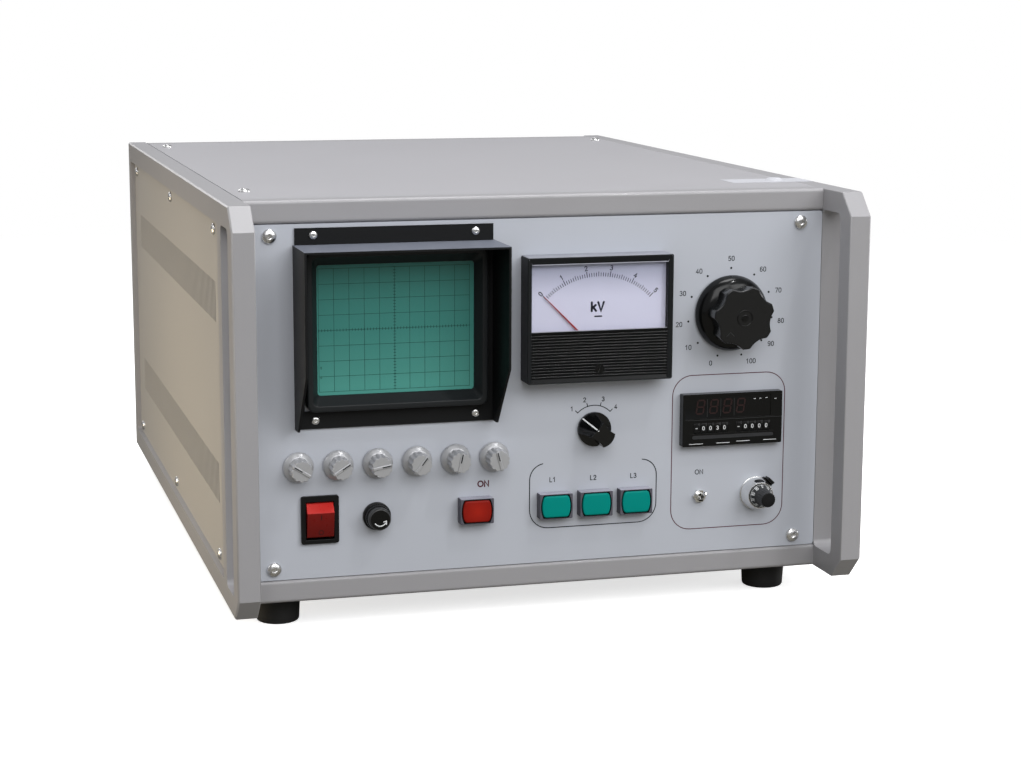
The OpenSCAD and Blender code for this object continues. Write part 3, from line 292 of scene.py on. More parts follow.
needle_red = inked("needle_red", srgb("9E2733"))
ink_black = inked("ink_black", srgb("12151B"))
ink_dial = inked("ink_dial", srgb("1E2036"))
ink_maroon = inked("ink_maroon", srgb("511C2C"))
ink_white = inked("ink_white", srgb("E9ECEE"))
ink_grey = inked("ink_grey", srgb("30304A"))
ink_dim = inked("ink_dim", (0.016, 0.0028, 0.0024))
# painted highlight colour for the meter's edges
painted_edge_highlight = inked("painted_edge_highlight", (0.52, 0.53, 0.62))
ink_shelf = inked("ink_shelf", (0.025, 0.026, 0.028))
ink_faint = inked("ink_faint", (0.022, 0.023, 0.024))
ink_rocker = inked("ink_rocker", srgb("260808"))
fuse_grey = textured("fuse_grey", (0.03, 0.031, 0.032), 0.4, 0.012, 0.3, 0.2)
# Painted light: the turns knob's sides are painted lighter where light falls, its front face near
# black.
turns_black = dusty("turns_black", (0.04, 0.042, 0.045), (0.004, 0.0042, 0.0045), 0, 24.6)
# Painted light on the HV lens: brighter middle, darker rim.
lens_red = lit_cap("lens_red", srgb("7E150D"), srgb("A32215"), HV_X, BUTTON_Z)
# Painted light on the rocker: its top facet painted bright, its lower face painted dark.
rocker_red = two_tone("rocker_red", srgb("781814"), srgb("C42E2A"), ROCKER_EDGE)
lens_teal = textured("lens_teal", srgb("01887F"), 0.7, 0.004, 0.36, 0.1, gloss=0.1)
seal_paper = textured("seal_paper", srgb("BBBCC2"), 1.0, 0.004, 0.6, 0.02)

NODE_FINISHES = (
    (frame_paint, "side_frame_left side_frame_right cross_rails"), (side_paint, "side_panels"),
    (cover_paint, "top_cover bottom_cover rear_panel"), (panel_paint, "front_panel"),
    (foot_rubber, "feet"), (screw_steel, "panel_screws case_screws"), (hood_paint, "crt_hood"),
    (bezel_plastic, "crt_bezel"), (tube_glass, "crt_tube"), (meter_glass, "meter_glass"),
    (dial_card, "meter_dial"), (needle_red, "meter_needle"), (brush_brass, "variac_brush"),
    (coil_copper, "variac_coil"), (core_iron, "power_transformer"), (can_paint, "surge_capacitor"),
    (board_green, "circuit_boards"), (housing_grey, "button_housings"), (dial_chrome, "dial_body"),
    (bright_chrome, "control_bodies toggle_lever"),
    (gloss_black, "meter_case zero_screw range_knob power_switch fuse_holder fuse_cap"),
    (satin_black, "graticule output_knob comparator_case dial_knob dial_lock mains_inlet "
                  "output_sockets"),
    (satin_black, " ".join(f"{row}_wheel_{k}" for row in ("high", "low") for k in range(1, 6))),
    (knob_silver, "intensity_knob focus_knob vertical_knob horizontal_knob sweep_knob "
                  "rotation_knob"),
    (rocker_red, "power_rocker hv_button line_button_1 line_button_2 line_button_3"),
)
for finish, nodes in NODE_FINISHES:
    for node in nodes.split():
        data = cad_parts[node].data
        data.materials.clear()
        data.materials.append(finish)


# Meshes


def dress(name, mesh, finish, body, swaps, flat=False):
    """Makes a piece of a mesh, with its finish, its body and the parts that it stands for."""
    mesh.materials.clear()
    mesh.materials.append(finish)
    obj = bpy.data.objects.new(name, mesh)
    bpy.context.scene.collection.objects.link(obj)
    if not flat:
        mesh.shade_smooth()
        mesh.set_sharp_from_angle(angle=math.radians(32))
    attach(obj, body)
    if swaps:
        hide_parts(*swaps)
    return obj


def piece(name, shapes, finish, body=CASE, swaps=(), flat=False):
    """One mesh from a list of (vertices in mm, faces). Solid shapes get their faces turned out."""
    verts = np.concatenate([v for v, _ in shapes])
    starts = np.cumsum([0] + [len(v) for v, _ in shapes])
    faces = [tuple(int(i) + int(s) for i in face)
             for s, (_, group) in zip(starts, shapes) for face in group]
    mesh = bpy.data.meshes.new(name)
    mesh.from_pydata((verts * MM).tolist(), [], faces)
    if not flat:
        bm = bmesh.new()
        bm.from_mesh(mesh)
        bmesh.ops.recalc_face_normals(bm, faces=bm.faces)
        bm.to_mesh(mesh)
        bm.free()
    dress(name, mesh, finish, body, swaps, flat)


def printed(name, shapes, ink, body=CASE):
    """Flat print on a piece."""
    piece(name, shapes, ink, body, flat=True)


def eased(node, name, width, finish, body=CASE, segments=2):
    """A part's own solid, its triangles merged back into flat faces, with rounded edges."""
    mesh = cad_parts[node].data.copy()
    mesh.name = name
    bm = bmesh.new()
    bm.from_mesh(mesh)
    bmesh.ops.remove_doubles(bm, verts=bm.verts, dist=2e-6)
    bmesh.ops.dissolve_limit(bm, angle_limit=math.radians(0.6), verts=bm.verts, edges=bm.edges)
    bm.to_mesh(mesh)
    bm.free()
    mod = dress(name, mesh, finish, body, (node,)).modifiers.new("edge", "BEVEL")
    mod.width = width * MM
    mod.segments = segments
    mod.limit_method = "ANGLE"
    mod.angle_limit = math.radians(32)
    mod.harden_normals = True


def skin(rings, loop=False):
    """Quads over an (m, n, 3) grid that is round along n: quad (i, j) joins points j and j + 1 of
    rings i and i + 1. With loop the last ring joins the first, otherwise lids close both ends."""
    m, n = rings.shape[:2]
    i = np.arange(m - (0 if loop else 1))[:, None] * n
    k = (i + n) % (m * n)
    j = np.arange(n)[None]
    q = (j + 1) % n
    quads = np.stack([i + j, i + q, k + q, k + j], 2).reshape(-1, 4)
    faces = [tuple(f) for f in quads.tolist()]
    if not loop:
        faces.append(tuple(range(n)))
        faces.append(tuple(range((m - 1) * n, m * n)))
    return rings.reshape(-1, 3), faces


def eased_path(points, soft):
    """A profile whose inner corners are rounded: each corner becomes a quadratic curve that starts
    and ends at most soft, or 45% of the run, before and after it."""
    p = np.asarray(points, dtype=float)
    out = [p[:1]]
    t = np.linspace(0, 1, 5)[:, None]
    for a, b, c in zip(p[:-2], p[1:-1], p[2:]):
        la, lc = np.linalg.norm(a - b), np.linalg.norm(c - b)
        start = b + (a - b) * min(soft / max(la, 1e-9), 0.45)
        end = b + (c - b) * min(soft / max(lc, 1e-9), 0.45)
        out.append(start * (1 - t) ** 2 + 2 * b * t * (1 - t) + end * t ** 2)
    out.append(p[-1:])
    return np.concatenate(out)


def round_rect(w, h, r):
    """Outline by inset a: a w by h rectangle with quarter circles of radius r - a."""
    def outline(a):
        u, v = w / 2 - a, h / 2 - a
        return rounded_box(-u, u, -v, v, max(r - a, 0.05), 7)
    return outline


def round_hole(r, n=72):
    """Circle outline by inset a: radius r - a."""
    turn = np.arange(n) / n * TURN

    def outline(a):
        return (r - a) * np.stack([np.cos(turn), np.sin(turn)], 1)
    return outline


def form(x, z, outline, profile, soft=0.4, loop=False):
    """A shape in front of the panel: an outline about (x, z) is carried along a profile of
    (inset, depth)."""
    if loop:
        path = eased_path([*profile, profile[0]], soft)[:-1]
    else:
        path = eased_path(profile, soft)
    rings = []
    for inset, depth in path:
        u, v = outline(inset).T
        rings.append(np.stack([x + u, np.full(len(u), PANEL_Y - depth), z + v], 1))
    return skin(np.array(rings), loop)


def turned(x, z, profile, soft=0.4, n=72):
    """A lathe shape about the panel's normal, from a profile of (radius, depth)."""
    return form(x, z, round_hole(0.0, n), [(-r, d) for r, d in profile], soft)


def spun(x, z, angle, shapes):
    """Turns shapes clockwise, as the operator sees them, about the panel's normal at (x, z)."""
    c, s = math.cos(math.radians(angle)), math.sin(math.radians(angle))
    out = []
    for verts, faces in shapes:
        u, v = verts[:, 0] - x, verts[:, 2] - z
        out.append((np.stack([x + u * c + v * s, verts[:, 1], z - u * s + v * c], 1), faces))
    return out


def prism(outline_yz, x0, x1):
    """A (y, z) outline carried straight from x0 to x1."""
    o = np.asarray(outline_yz, dtype=float)
    rings = np.empty((2, len(o), 3))
    rings[0, :, 0], rings[1, :, 0] = x0, x1
    rings[..., 1:] = o
    return skin(rings)


# Print: strokes of even width with round ends, which lie INK_D in front of what carries them

INK_D = 0.05


def arc(cx, cy, rx, ry, start, end, n=14):
    """Points of an ellipse from start to end, in degrees anticlockwise from the right."""
    t = np.radians(np.linspace(start, end, n))
    return np.stack([cx + rx * np.cos(t), cy + ry * np.sin(t)], 1)


def run(*points):
    return np.asarray(points, dtype=float)


def stroke(points, width, d=INK_D, closed=False):
    """Flat strip along points (x, z): each point moves half the width to both sides, along the
    mean normal of the runs that meet there, and a half circle closes each free end."""
    p = np.asarray(points, dtype=float)
    ahead = np.roll(p, -1, 0) - p
    back = p - np.roll(p, 1, 0)
    if not closed:
        ahead[-1] = back[-1]
        back[0] = ahead[0]
    ahead /= np.linalg.norm(ahead, axis=1, keepdims=True)
    back /= np.linalg.norm(back, axis=1, keepdims=True)
    mean = ahead + back
    mean /= np.linalg.norm(mean, axis=1, keepdims=True)
    stretch = 1 / np.clip((mean * ahead).sum(1), 0.5, 1)
    side = np.stack([-mean[:, 1], mean[:, 0]], 1) * (width / 2 * stretch)[:, None]
    n = len(p)
    flat = np.concatenate([p + side, p - side])
    i = np.arange(n if closed else n - 1)
    k = (i + 1) % n
    faces = np.stack([i, i + n, k + n, k], 1).tolist()
    if not closed:
        t = np.linspace(0, math.pi, 8)[1:-1, None]
        for end, way, edge in ((0, -back[0], (0, n)), (n - 1, ahead[-1], (2 * n - 1, n - 1))):
            across = flat[edge[0]] - p[end]
            cap = p[end] + np.cos(t) * across + np.sin(t) * way * width / 2
            first = len(flat)
            flat = np.concatenate([flat, cap])
            faces.append([edge[0], *range(first, first + len(cap)), edge[1]])
    verts = np.stack([flat[:, 0], np.full(len(flat), PANEL_Y - d), flat[:, 1]], 1)
    return verts, [tuple(f) for f in faces]


def spot(x, z, r):
    """Flat round dot."""
    t = np.arange(20) / 20 * TURN
    verts = np.stack([x + r * np.cos(t), np.full(20, PANEL_Y - INK_D), z + r * np.sin(t)], 1)
    return verts, [tuple(range(20))]


# Glyphs in a box of width 0.6 and height 1
GLYPHS = {
    "0": [np.concatenate([arc(0.3, 0.7, 0.27, 0.3, 0, 180), arc(0.3, 0.3, 0.27, 0.3, 180, 360),
                          [(0.57, 0.7)]])],
    "1": [run((0.1, 0.76), (0.34, 1.0), (0.34, 0.0))],
    "2": [np.concatenate([arc(0.3, 0.73, 0.26, 0.27, 165, -35), [(0.04, 0.0), (0.58, 0.0)]])],
    "3": [np.concatenate([arc(0.28, 0.75, 0.24, 0.25, 150, -80),
                          arc(0.28, 0.27, 0.28, 0.27, 80, -150)])],
    "4": [run((0.42, 0.0), (0.42, 1.0), (0.02, 0.28), (0.6, 0.28))],
    "5": [np.concatenate([[(0.54, 1.0), (0.12, 1.0), (0.07, 0.54)],
                          arc(0.28, 0.31, 0.28, 0.31, 120, -150)])],
    "6": [np.concatenate([arc(0.33, 0.66, 0.28, 0.34, 50, 180),
                          arc(0.3, 0.3, 0.27, 0.3, 180, 540, 24)])],
    "7": [run((0.02, 1.0), (0.58, 1.0), (0.2, 0.0))],
    "8": [arc(0.3, 0.76, 0.22, 0.24, -90, 270, 22), arc(0.3, 0.27, 0.27, 0.27, 90, 450, 24)],
    "9": [np.concatenate([arc(0.27, 0.34, 0.28, 0.34, 230, 360),
                          arc(0.3, 0.7, 0.27, 0.3, 0, 360, 24)])],
    "k": [run((0.08, 0.0), (0.08, 1.0)), run((0.5, 0.68), (0.1, 0.3)),
          run((0.24, 0.43), (0.54, 0.0))],
    "V": [run((0.0, 1.0), (0.3, 0.0), (0.6, 1.0))],
    "L": [run((0.08, 1.0), (0.08, 0.0), (0.52, 0.0))],
    "O": [arc(0.33, 0.5, 0.33, 0.5, 90, 450, 28)],
    "N": [run((0.05, 0.0), (0.05, 1.0), (0.55, 0.0), (0.55, 1.0))],
    "I": [run((0.3, 0.0), (0.3, 1.0))],
    "-": [run((0.05, 0.5), (0.55, 0.5))],
    "+": [run((0.05, 0.5), (0.55, 0.5)), run((0.3, 0.25), (0.3, 0.75))],
}


def write(text, x, z, height, width, d=INK_D, pitch=0.82, angle=0.0, wide=1.0):
    """Strokes of a text centred on (x, z), turned clockwise by an angle, its width scaled."""
    full = (len(text) - 1) * pitch + 0.6
    c, s = math.cos(math.radians(angle)), math.sin(math.radians(angle))
    out = []
    for k, letter in enumerate(text):
        for line in GLYPHS[letter]:
            u = (line[:, 0] + k * pitch - full / 2) * height * wide
            v = (line[:, 1] - 0.5) * height
            out.append(stroke(np.stack([x + u * c + v * s, z - u * s + v * c], 1), width, d))
    return out


def polar(x, z, r, angle):
    """Point at radius r and at an angle clockwise from straight up."""
    a = math.radians(angle)
    return x + r * math.sin(a), z + r * math.cos(a)


def rounded_box(x0, x1, z0, z1, r, n=10):
    """Closed outline of a box with quarter circles of radius r and n points each."""
    middles = ((x1 - r, z1 - r), (x0 + r, z1 - r), (x0 + r, z0 + r), (x1 - r, z0 + r))
    return np.concatenate([arc(*middle, r, r, 90 * k, 90 * k + 90, n)
                           for k, middle in enumerate(middles)])


# Case: the parts' own solids with rounded edges

eased("side_frame_left", "side_frame_left_cast", 0.6, frame_paint)
eased("side_frame_right", "side_frame_right_cast", 0.6, frame_paint)
eased("top_cover", "top_cover_sheet", 0.4, cover_paint)
eased("bottom_cover", "bottom_cover_sheet", 0.4, cover_paint)
eased("front_panel", "front_panel_sheet", 0.6, panel_paint)
eased("crt_hood", "hood_sheet", 0.35, hood_paint)
eased("feet", "feet_moulded", 0.8, foot_rubber)

# Screen: moulded frame, graticule and its grid

TUBE_X, TUBE_Z = -100.0, 200.0


def frame_outline(a):
    """Outline by inset a: up to the rim's inner edge at 4 mm all sides move alike, then the top and
    bottom move 0.425 mm more for each mm, since the picture area is lower than it is wide."""
    return round_rect(120 - 2 * a, 104 - 2 * a - 0.85 * max(a - 4, 0), 5 - a * 3 / 8)(0)


piece("screen_frame", [form(TUBE_X, TUBE_Z, frame_outline,
                            [(0, 0), (0, 9.3), (0.7, 10), (3.7, 10), (7.8, 3.6), (8, 2.8), (8, 0)],
                            0.5, loop=True)],
      bezel_plastic, swaps=("crt_bezel",))


def graticule_glass():
    """Green screen plate: darker in its upper half, where the hood's shadow is painted in, lighter
    to its foot, faintly cloudy.
    """
    f = Finish("graticule_glass", {"Coat Weight": 0.2, "Coat Roughness": 0.06, "IOR": 1.49,
                                   "Specular IOR Level": 0.3})
    cloud = f.noise(40.0, 2.0)
    # painted shade: the hood's shadow darkens the upper half, fading out towards the foot
    painted_shade_fade = (TUBE_Z * MM - f.along(2)) * 27.0 + cloud * 0.2 - 0.1
    f.give({"Base Color": f.blend(painted_shade_fade, srgb("387F77"), srgb("4A958B")),
            "Roughness": 0.3 + 0.1 * cloud, "Normal": f.relief(f.noise(0.8), 0.004)})
    return f.material


piece("graticule_plate", [form(TUBE_X, TUBE_Z, round_rect(107.4, 88, 2),
                               [(0, 0), (0, 2.2), (0.3, 2.5)], 0.2)],
      graticule_glass(), swaps=("graticule",))
GRID_D = 2.55
GRID = 10.0
GRID_X = TUBE_X - 0.9
squares = [((k, -4), (k, 4)) for k in range(-5, 6)] + [((-5, k), (5, k)) for k in range(-4, 5)]
ticks = [((k / 5, -0.07), (k / 5, 0.07)) for k in range(-25, 26)]
ticks += [((-0.07, k / 5), (0.07, k / 5)) for k in range(-20, 21)]
grid = []
for runs, width in ((squares, 0.3), (ticks, 0.42)):
    grid += [stroke(np.array(ends) * GRID + (GRID_X, TUBE_Z), width, GRID_D) for ends in runs]
for v in (-24.3, -30.6):
    grid += write("0", GRID_X - 48.6, TUBE_Z + v, 1.4, 0.28, GRID_D)
printed("graticule_grid", grid, inked("grid_ink", srgb("1E514A")))

# Print on the front panel

OUT_X, OUT_Z = 132.2, 201.2
RANGE_X, RANGE_Z = 36.0, 126.0
LINE_X, LINE_PITCH = 7.9, 28.2
# Output scale: the dots that stand off the even circle, and the middle of each number
DOTS = {2: (-30.1, -5.0), 3: (-28.0, 11.65), 4: (-16.8, 25.4), 6: (16.7, 25.4), 7: (27.5, 13.2)}
MARKS = ((-13.5, -34.1), (-29.8, -22.7), (-36.7, -6.8), (-34.4, 14.2), (-23, 28.9), (0, 36.9),
         (23, 28.9), (34.5, 14.2), (36.9, -6.8), (30, -22.4), (15.7, -33.8))
black = []
for k, (u, v) in enumerate(MARKS):
    dot = DOTS.get(k, polar(0, 0, 30.4, -163.5 + 32.7 * k))
    black.append(spot(OUT_X + dot[0], OUT_Z + dot[1], 0.75))
    black += write(str(10 * k), OUT_X + u, OUT_Z + v, 3.0, 0.52)
black.append(stroke(arc(RANGE_X, RANGE_Z, 16, 16, 135.4, 44.6, 24), 0.62))
for k, (angle, place) in enumerate(((-45.4, -47.4), (-16, -18.3), (16, 17.9), (45.4, 46.9))):
    black.append(stroke(run(*[polar(RANGE_X, RANGE_Z, r, angle) for r in (16, 18.2)]), 0.6))
    black += write(str(k + 1), *polar(RANGE_X, RANGE_Z, 21, place), 2.8, 0.58)
for k in range(3):
    black += write(f"L{k + 1}", 7.4 + 28.55 * k, 92.6 - 0.2 * k, 3.0, 0.58)
black += write("ON", 111.9, 92.0, 3.0, 0.55, wide=1.35)
black.append(stroke(np.concatenate([
    arc(2.4, 93.0, 11, 11, 100, 180, 10), arc(4.4, 72.6, 13, 13, 180, 270, 10),
    arc(68.0, 72.6, 13, 13, 270, 360, 10), arc(70.0, 92.2, 11, 11, 0, 86, 10)]), 0.68))
printed("panel_print", black, ink_black)
maroon = [stroke(rounded_box(91.8, 173.4, 52.3, 159.2, 14), 0.6, closed=True)]
maroon += write("ON", -40.6, 92.6, 3.7, 0.95, wide=1.42)
printed("panel_print_maroon", maroon, ink_maroon)

# Output knob: domed skirt, a grip with seven lobes, a cap and its ring, a faint arrow


def lobes(r, count, deep, n=192):
    """Outline by inset a: radius r - a less hollows that are deep * (1 - |cos|) ** 0.7 between the
    lobes, so that each hollow is round and each lobe has a short crest."""
    turn = np.arange(n) / n * TURN
    hollow = deep * (1 - np.abs(np.cos(count * turn / 2))) ** 0.7

    def outline(a):
        radius = r - hollow - a
        return radius[:, None] * np.stack([np.sin(turn), np.cos(turn)], 1)
    return outline


def scalloped(r, count, q, deep, n=448):
    """Outline by inset a: a circle of radius r, cut by count circles of radius q round points at
    c = r + q - deep. At an angle t from one the cut starts at c cos t - sqrt(q^2 - (c sin t)^2).
    The radii are then averaged over their neighbours, which rounds the ends of the crests."""
    turn = np.arange(n) / n * TURN
    t = (turn % (TURN / count)) - TURN / count / 2
    c = r + q - deep
    inside = q * q - (c * np.sin(t)) ** 2
    hollow = c * np.cos(t) - np.sqrt(np.clip(inside, 0, None))
    radius = np.where(inside > 0, np.minimum(r, hollow), r)
    for _ in range(3):
        radius = (np.roll(radius, 1) + 2 * radius + np.roll(radius, -1)) / 4

    def outline(a):
        return (radius - a)[:, None] * np.stack([np.sin(turn), np.cos(turn)], 1)
    return outline


piece("output_knob_skirt",
      [turned(OUT_X, OUT_Z, [(0.2, 0.6), (25.4, 0.6), (25.8, 1.2), (25.8, 3.2), (24.2, 7.2),
                             (20.8, 9.8), (16, 11.4), (0.2, 11.8)], 2.0, n=96)],
      gloss_black, "output_control", ("output_knob",))
piece("output_knob_grip",
      spun(OUT_X, OUT_Z, -133.5, [
          form(OUT_X, OUT_Z, scalloped(20.8, 7, 13, 2.8),
               [(2.0, 9.0), (0.7, 10.6), (0.2, 12.0), (-0.5, 26.4), (-0.2, 26.85), (0.4, 27.0),
                (1.6, 27.0)], 0.4)]),
      knob_black, "output_control")
piece("output_knob_cap",
      [form(OUT_X, OUT_Z, round_hole(5.6), [(0, 26.5), (0, 27.3), (0.35, 27.55), (0.8, 27.3),
                                            (0.8, 26.5)], 0.2, loop=True),
       turned(OUT_X, OUT_Z, [(0.2, 26.0), (2.4, 26.0), (2.4, 27.4), (2.0, 27.55), (0.2, 27.55)],
              0.2)],
      gloss_black, "output_control")
printed("output_knob_mark",
        [stroke(run((OUT_X - 12.7, OUT_Z - 11.7), (OUT_X - 10.1, OUT_Z - 9.1),
                    (OUT_X - 7.5, OUT_Z - 11.7)), 0.45, 27.06)], ink_faint, "output_control")


def laid(shapes, x, z, height):
    """Lays flat print on a top: each point's depth becomes height(u, v) plus the ink's own."""
    out = []
    for verts, faces in shapes:
        new = verts.copy()
        new[:, 1] = PANEL_Y - height(verts[:, 0] - x, verts[:, 2] - z) - INK_D
        out.append((new, faces))
    return out


# Pointer meter: a rim round a dished face, a ribbed wall below the glass, a printed dial

MX, MZ = 34.8, 202.4
RIM, FACE, GLASS = 16.5, 15.3, 13.85
SILL = MZ - 7.4


def dished(outer, inner, r, deep):
    """Outline by inset a: each side (left, right, low, high) moves in a straight line from the
    outer box to the inner one, which it reaches at a = deep, and the corners shrink with it."""
    outer, inner = np.asarray(outer, dtype=float), np.asarray(inner, dtype=float)

    def outline(a):
        return rounded_box(*(outer + (inner - outer) * a / deep), max(r - 0.3 * a, 0.4), 6)
    return outline


z = np.linspace(MZ - 38.6, SILL - 0.7, 321)
ribs = FACE - 0.7 + 0.7 * np.abs(np.sin(math.pi * (z - z[0]) / 1.96)) ** 0.7
ribbed = np.concatenate([[(PANEL_Y - FACE, MZ - 41.2)], np.stack([PANEL_Y - ribs, z], 1),
                         [(PANEL_Y - FACE, z[-1] + 0.1), (PANEL_Y - FACE, SILL),
                          (PANEL_Y - GLASS, SILL), (PANEL_Y - GLASS, MZ - 41.2)]])
piece("meter_rim", [
    form(MX, MZ, dished((-50, 50.5, -41.6, 42.2), (-47, 47.1, -41.0, 37.5), 1.4, 3),
         [(0, 0), (0, 16.2), (0.3, RIM), (0.8, RIM), (3, FACE), (3, 2)], 0.25, loop=True)],
    meter_black, swaps=("meter_case",))
piece("meter_ribbed_wall", [prism(ribbed, MX - 47.3, MX + 47.3)], ribs_black)


def slope(u, v):
    """Depth of the bevel of the case above the glass, from the glass up to the outer edge."""
    return FACE + np.clip(v - 37.5, 0, 3.4) * (RIM - FACE) / 3.4


# Painted highlights: light lines on the bevel's mitres, along the glass's top edge and along its
# sill, for light caught by those edges.
printed("meter_edge_lines", laid(
    [stroke(run((MX - 49.1, MZ + 40.8), (MX - 47, MZ + 37.6)), 0.25),
     stroke(run((MX + 49.5, MZ + 40.8), (MX + 47.1, MZ + 37.6)), 0.25),
     stroke(run((MX - 46.7, MZ + 37.2), (MX + 46.9, MZ + 37.2)), 0.4)], MX, MZ, slope)
    + [stroke(run((MX - 46.8, SILL + 0.25), (MX + 46.9, SILL + 0.25)), 0.42, GLASS + 0.1)],
    painted_edge_highlight)
PIV_X, PIV_Z, CARD = 34.8, 180.4, 11.05
dial = []
for k in range(51):
    angle = -45 + 1.8 * k
    reach = 53.6 if k % 10 == 0 else 53.0 if k % 5 == 0 else 52.4
    dial.append(stroke(run(*[polar(PIV_X, PIV_Z, r, angle) for r in (50.2, reach)]),
                       0.56 if k % 10 == 0 else 0.46, CARD))
printed("meter_scale", dial, ink_grey)
dial = []
for k in range(6):
    dial += write(str(k), *polar(PIV_X, PIV_Z - 0.3, 56.4, -45 + 18 * k), 2.9, 0.6, CARD,
                  angle=-45 + 18 * k)
dial += write("kV", 34.1, 210.4, 5.7, 1.5, CARD, pitch=0.78, wide=1.12)
dial.append(stroke(run((32.4, 203.9), (37.0, 203.9)), 1.0, CARD))
printed("meter_numerals", dial, ink_dial)

# Range knob: its own solid with eased edges, and a white line down the cone of its nose

eased("range_knob", "range_knob_moulded", 0.35, range_black, "range_control", 3)


def nose(u, v):
    """Depth of the knob's top: level at 15.5 to a radius of 2.8, then down to 2.5 at 11.6."""
    return 15.5 - np.clip(np.hypot(u, v) - 2.8, 0, None) * 13.0 / 8.8


line = np.stack([np.full(12, RANGE_X), RANGE_Z + np.linspace(2.2, 11.2, 12)], 1)
printed("range_knob_line",
        spun(RANGE_X, RANGE_Z, -48, laid([stroke(line, 0.95)], RANGE_X, RANGE_Z, nose)),
        ink_white, "range_control")

# Six trim knobs: round skirt, twelve flutes, a ridge across the face with a black line

TRIM_Z = 110.8
TRIMS = (("intensity", -57), ("focus", 58), ("vertical", 80), ("horizontal", 38), ("sweep", 12),
         ("rotation", -15))
for number, (name, angle) in enumerate(TRIMS):
    x = -165.0 + 26.3 * number
    body = f"{name}_control"
    piece(f"{name}_knob_moulded", spun(x, TRIM_Z, angle, [
        turned(x, TRIM_Z, [(0.2, 0.5), (10.1, 0.5), (10.2, 1.3), (9.7, 2.6), (8.1, 3.9),
                           (7.2, 4.6), (0.2, 4.7)], 0.5),
        form(x, TRIM_Z, lobes(7.25, 12, 0.8, 240),
             [(0.0, 3.6), (0.0, 5.0), (0.1, 15.0), (0.4, 15.5), (0.6, 15.5)], 0.4),
        form(x, TRIM_Z, round_rect(2.2, 12.4, 0.4),
             [(0, 15.2), (0, 15.9), (0.4, 16.2), (0.5, 16.2)], 0.2)]),
        knob_silver, body, (f"{name}_knob",))
    printed(f"{name}_knob_line", spun(x, TRIM_Z, angle, [
        stroke(run((x, TRIM_Z + 0.3), (x, TRIM_Z + 5.7)), 0.75, 16.25)]), ink_black, body)

# Lower row: rocker, fuse, lit buttons, toggle and turns dial

POWER_X = -151.2
eased("power_switch", "power_switch_rim", 0.5, satin_black)
eased("power_rocker", "power_rocker_cap", 0.7, rocker_red, "rocker", 3)


def rocker_face(u, v):
    """Depth of the rocker's long lower face, v above its middle."""
    return 5.6 + (v - 5.2) * 0.1556


printed("power_rocker_marks",
        laid(write("I", POWER_X + 0.3, ROW_Z + 2.1, 3.0, 0.6)
             + [stroke(arc(POWER_X + 0.3, ROW_Z - 8.2, 1.5, 1.5, 0, 340, 26), 0.45, closed=True)],
             POWER_X, ROW_Z, rocker_face), ink_rocker, "rocker")

FUSE_X = -113.3
piece("fuse_flange", [form(FUSE_X, ROW_Z, round_hole(9.3),
                           [(0, 0), (0, 2.4), (0.6, 3.0), (1.6, 3.0), (4.1, 3.0), (4.1, 0)],
                           0.4, loop=True)], satin_black, swaps=("fuse_holder",))
piece("fuse_cap_moulded",
      [form(FUSE_X, ROW_Z, lobes(8.4, 36, 0.25, 216),
            [(4.0, 3.4), (0.2, 3.4), (0.0, 3.9), (0.1, 6.6), (0.8, 7.4), (1.4, 7.5)], 0.3)],
      satin_black, "fuse_carrier", ("fuse_cap",))
piece("fuse_cap_knob",
      [turned(FUSE_X, ROW_Z, [(0.2, 7.0), (7.5, 7.0), (7.4, 11.2), (6.6, 12.1), (0.2, 12.1)], 0.5)],
      fuse_grey, "fuse_carrier")
piece("fuse_cap_face",
      [turned(FUSE_X, ROW_Z, [(0.2, 11.8), (6.5, 11.8), (6.4, 12.15), (0.2, 12.15)], 0.1)],
      gloss_black, "fuse_carrier")
tip = polar(FUSE_X, ROW_Z, 4.2, 112)
printed("fuse_cap_arrow",
        [stroke(arc(FUSE_X, ROW_Z, 4.2, 4.2, 216, 328, 18), 0.65, 12.2),
         stroke(run((tip[0] - 1.7, tip[1] + 0.1), (tip[0] + 0.2, tip[1] + 0.6),
                    (tip[0] + 0.1, tip[1] - 1.6)), 0.65, 12.2)], ink_white, "fuse_carrier")

BUTTONS = [("hv", HV_X, "hv_push", "hv_button", lens_red)]
for k in range(3):
    BUTTONS.append((f"line_{k + 1}", LINE_X + k * LINE_PITCH, f"line_push_{k + 1}",
                    f"line_button_{k + 1}", lens_teal))


def barrel(w, h, r, n=15):
    """Outline by inset a: flat top and bottom, sides of radius 18, corners of radius r. For a
    height v the half width is w/2 - 18 + sqrt(18^2 - v^2) less the corner's own
    r - sqrt(r^2 - c^2), with c = max(0, |v| - h/2 + r)."""
    def outline(a):
        v = np.sin(np.linspace(-math.pi / 2, math.pi / 2, n)) * (h / 2 - a)
        c = np.clip(np.abs(v) - (h / 2 - a) + r, 0, r)
        half = w / 2 - a - 18 + np.sqrt(18 ** 2 - v ** 2) - (r - np.sqrt(r * r - c * c))
        return np.concatenate([np.stack([half, v], 1), np.stack([-half[::-1], v[::-1]], 1)])
    return outline


eased("button_housings", "button_housing_shells", 0.25, housing_grey)
for name, x, body, node, finish in BUTTONS:
    piece(f"{name}_button_liner", [form(x, BUTTON_Z, barrel(21.5, 16.1, 0.4),
                                        [(0, 1.3), (0, 8.02), (0.42, 8.02), (0.42, 1.3)], 0.05,
                                        loop=True)], gloss_black)
    piece(f"{name}_button_lens", [form(x, BUTTON_Z, barrel(19.8, 14.6, 1.4), [
        (0, 4.7), (0, 7.9), (0.35, 8.4), (1.2, 8.6), (3.5, 8.7)], 0.6)], finish, body, (node,))

eased("control_bodies", "control_bushings", 0.15, bright_chrome)
eased("toggle_lever", "toggle_lever_plated", 0.12, bright_chrome, "toggle")

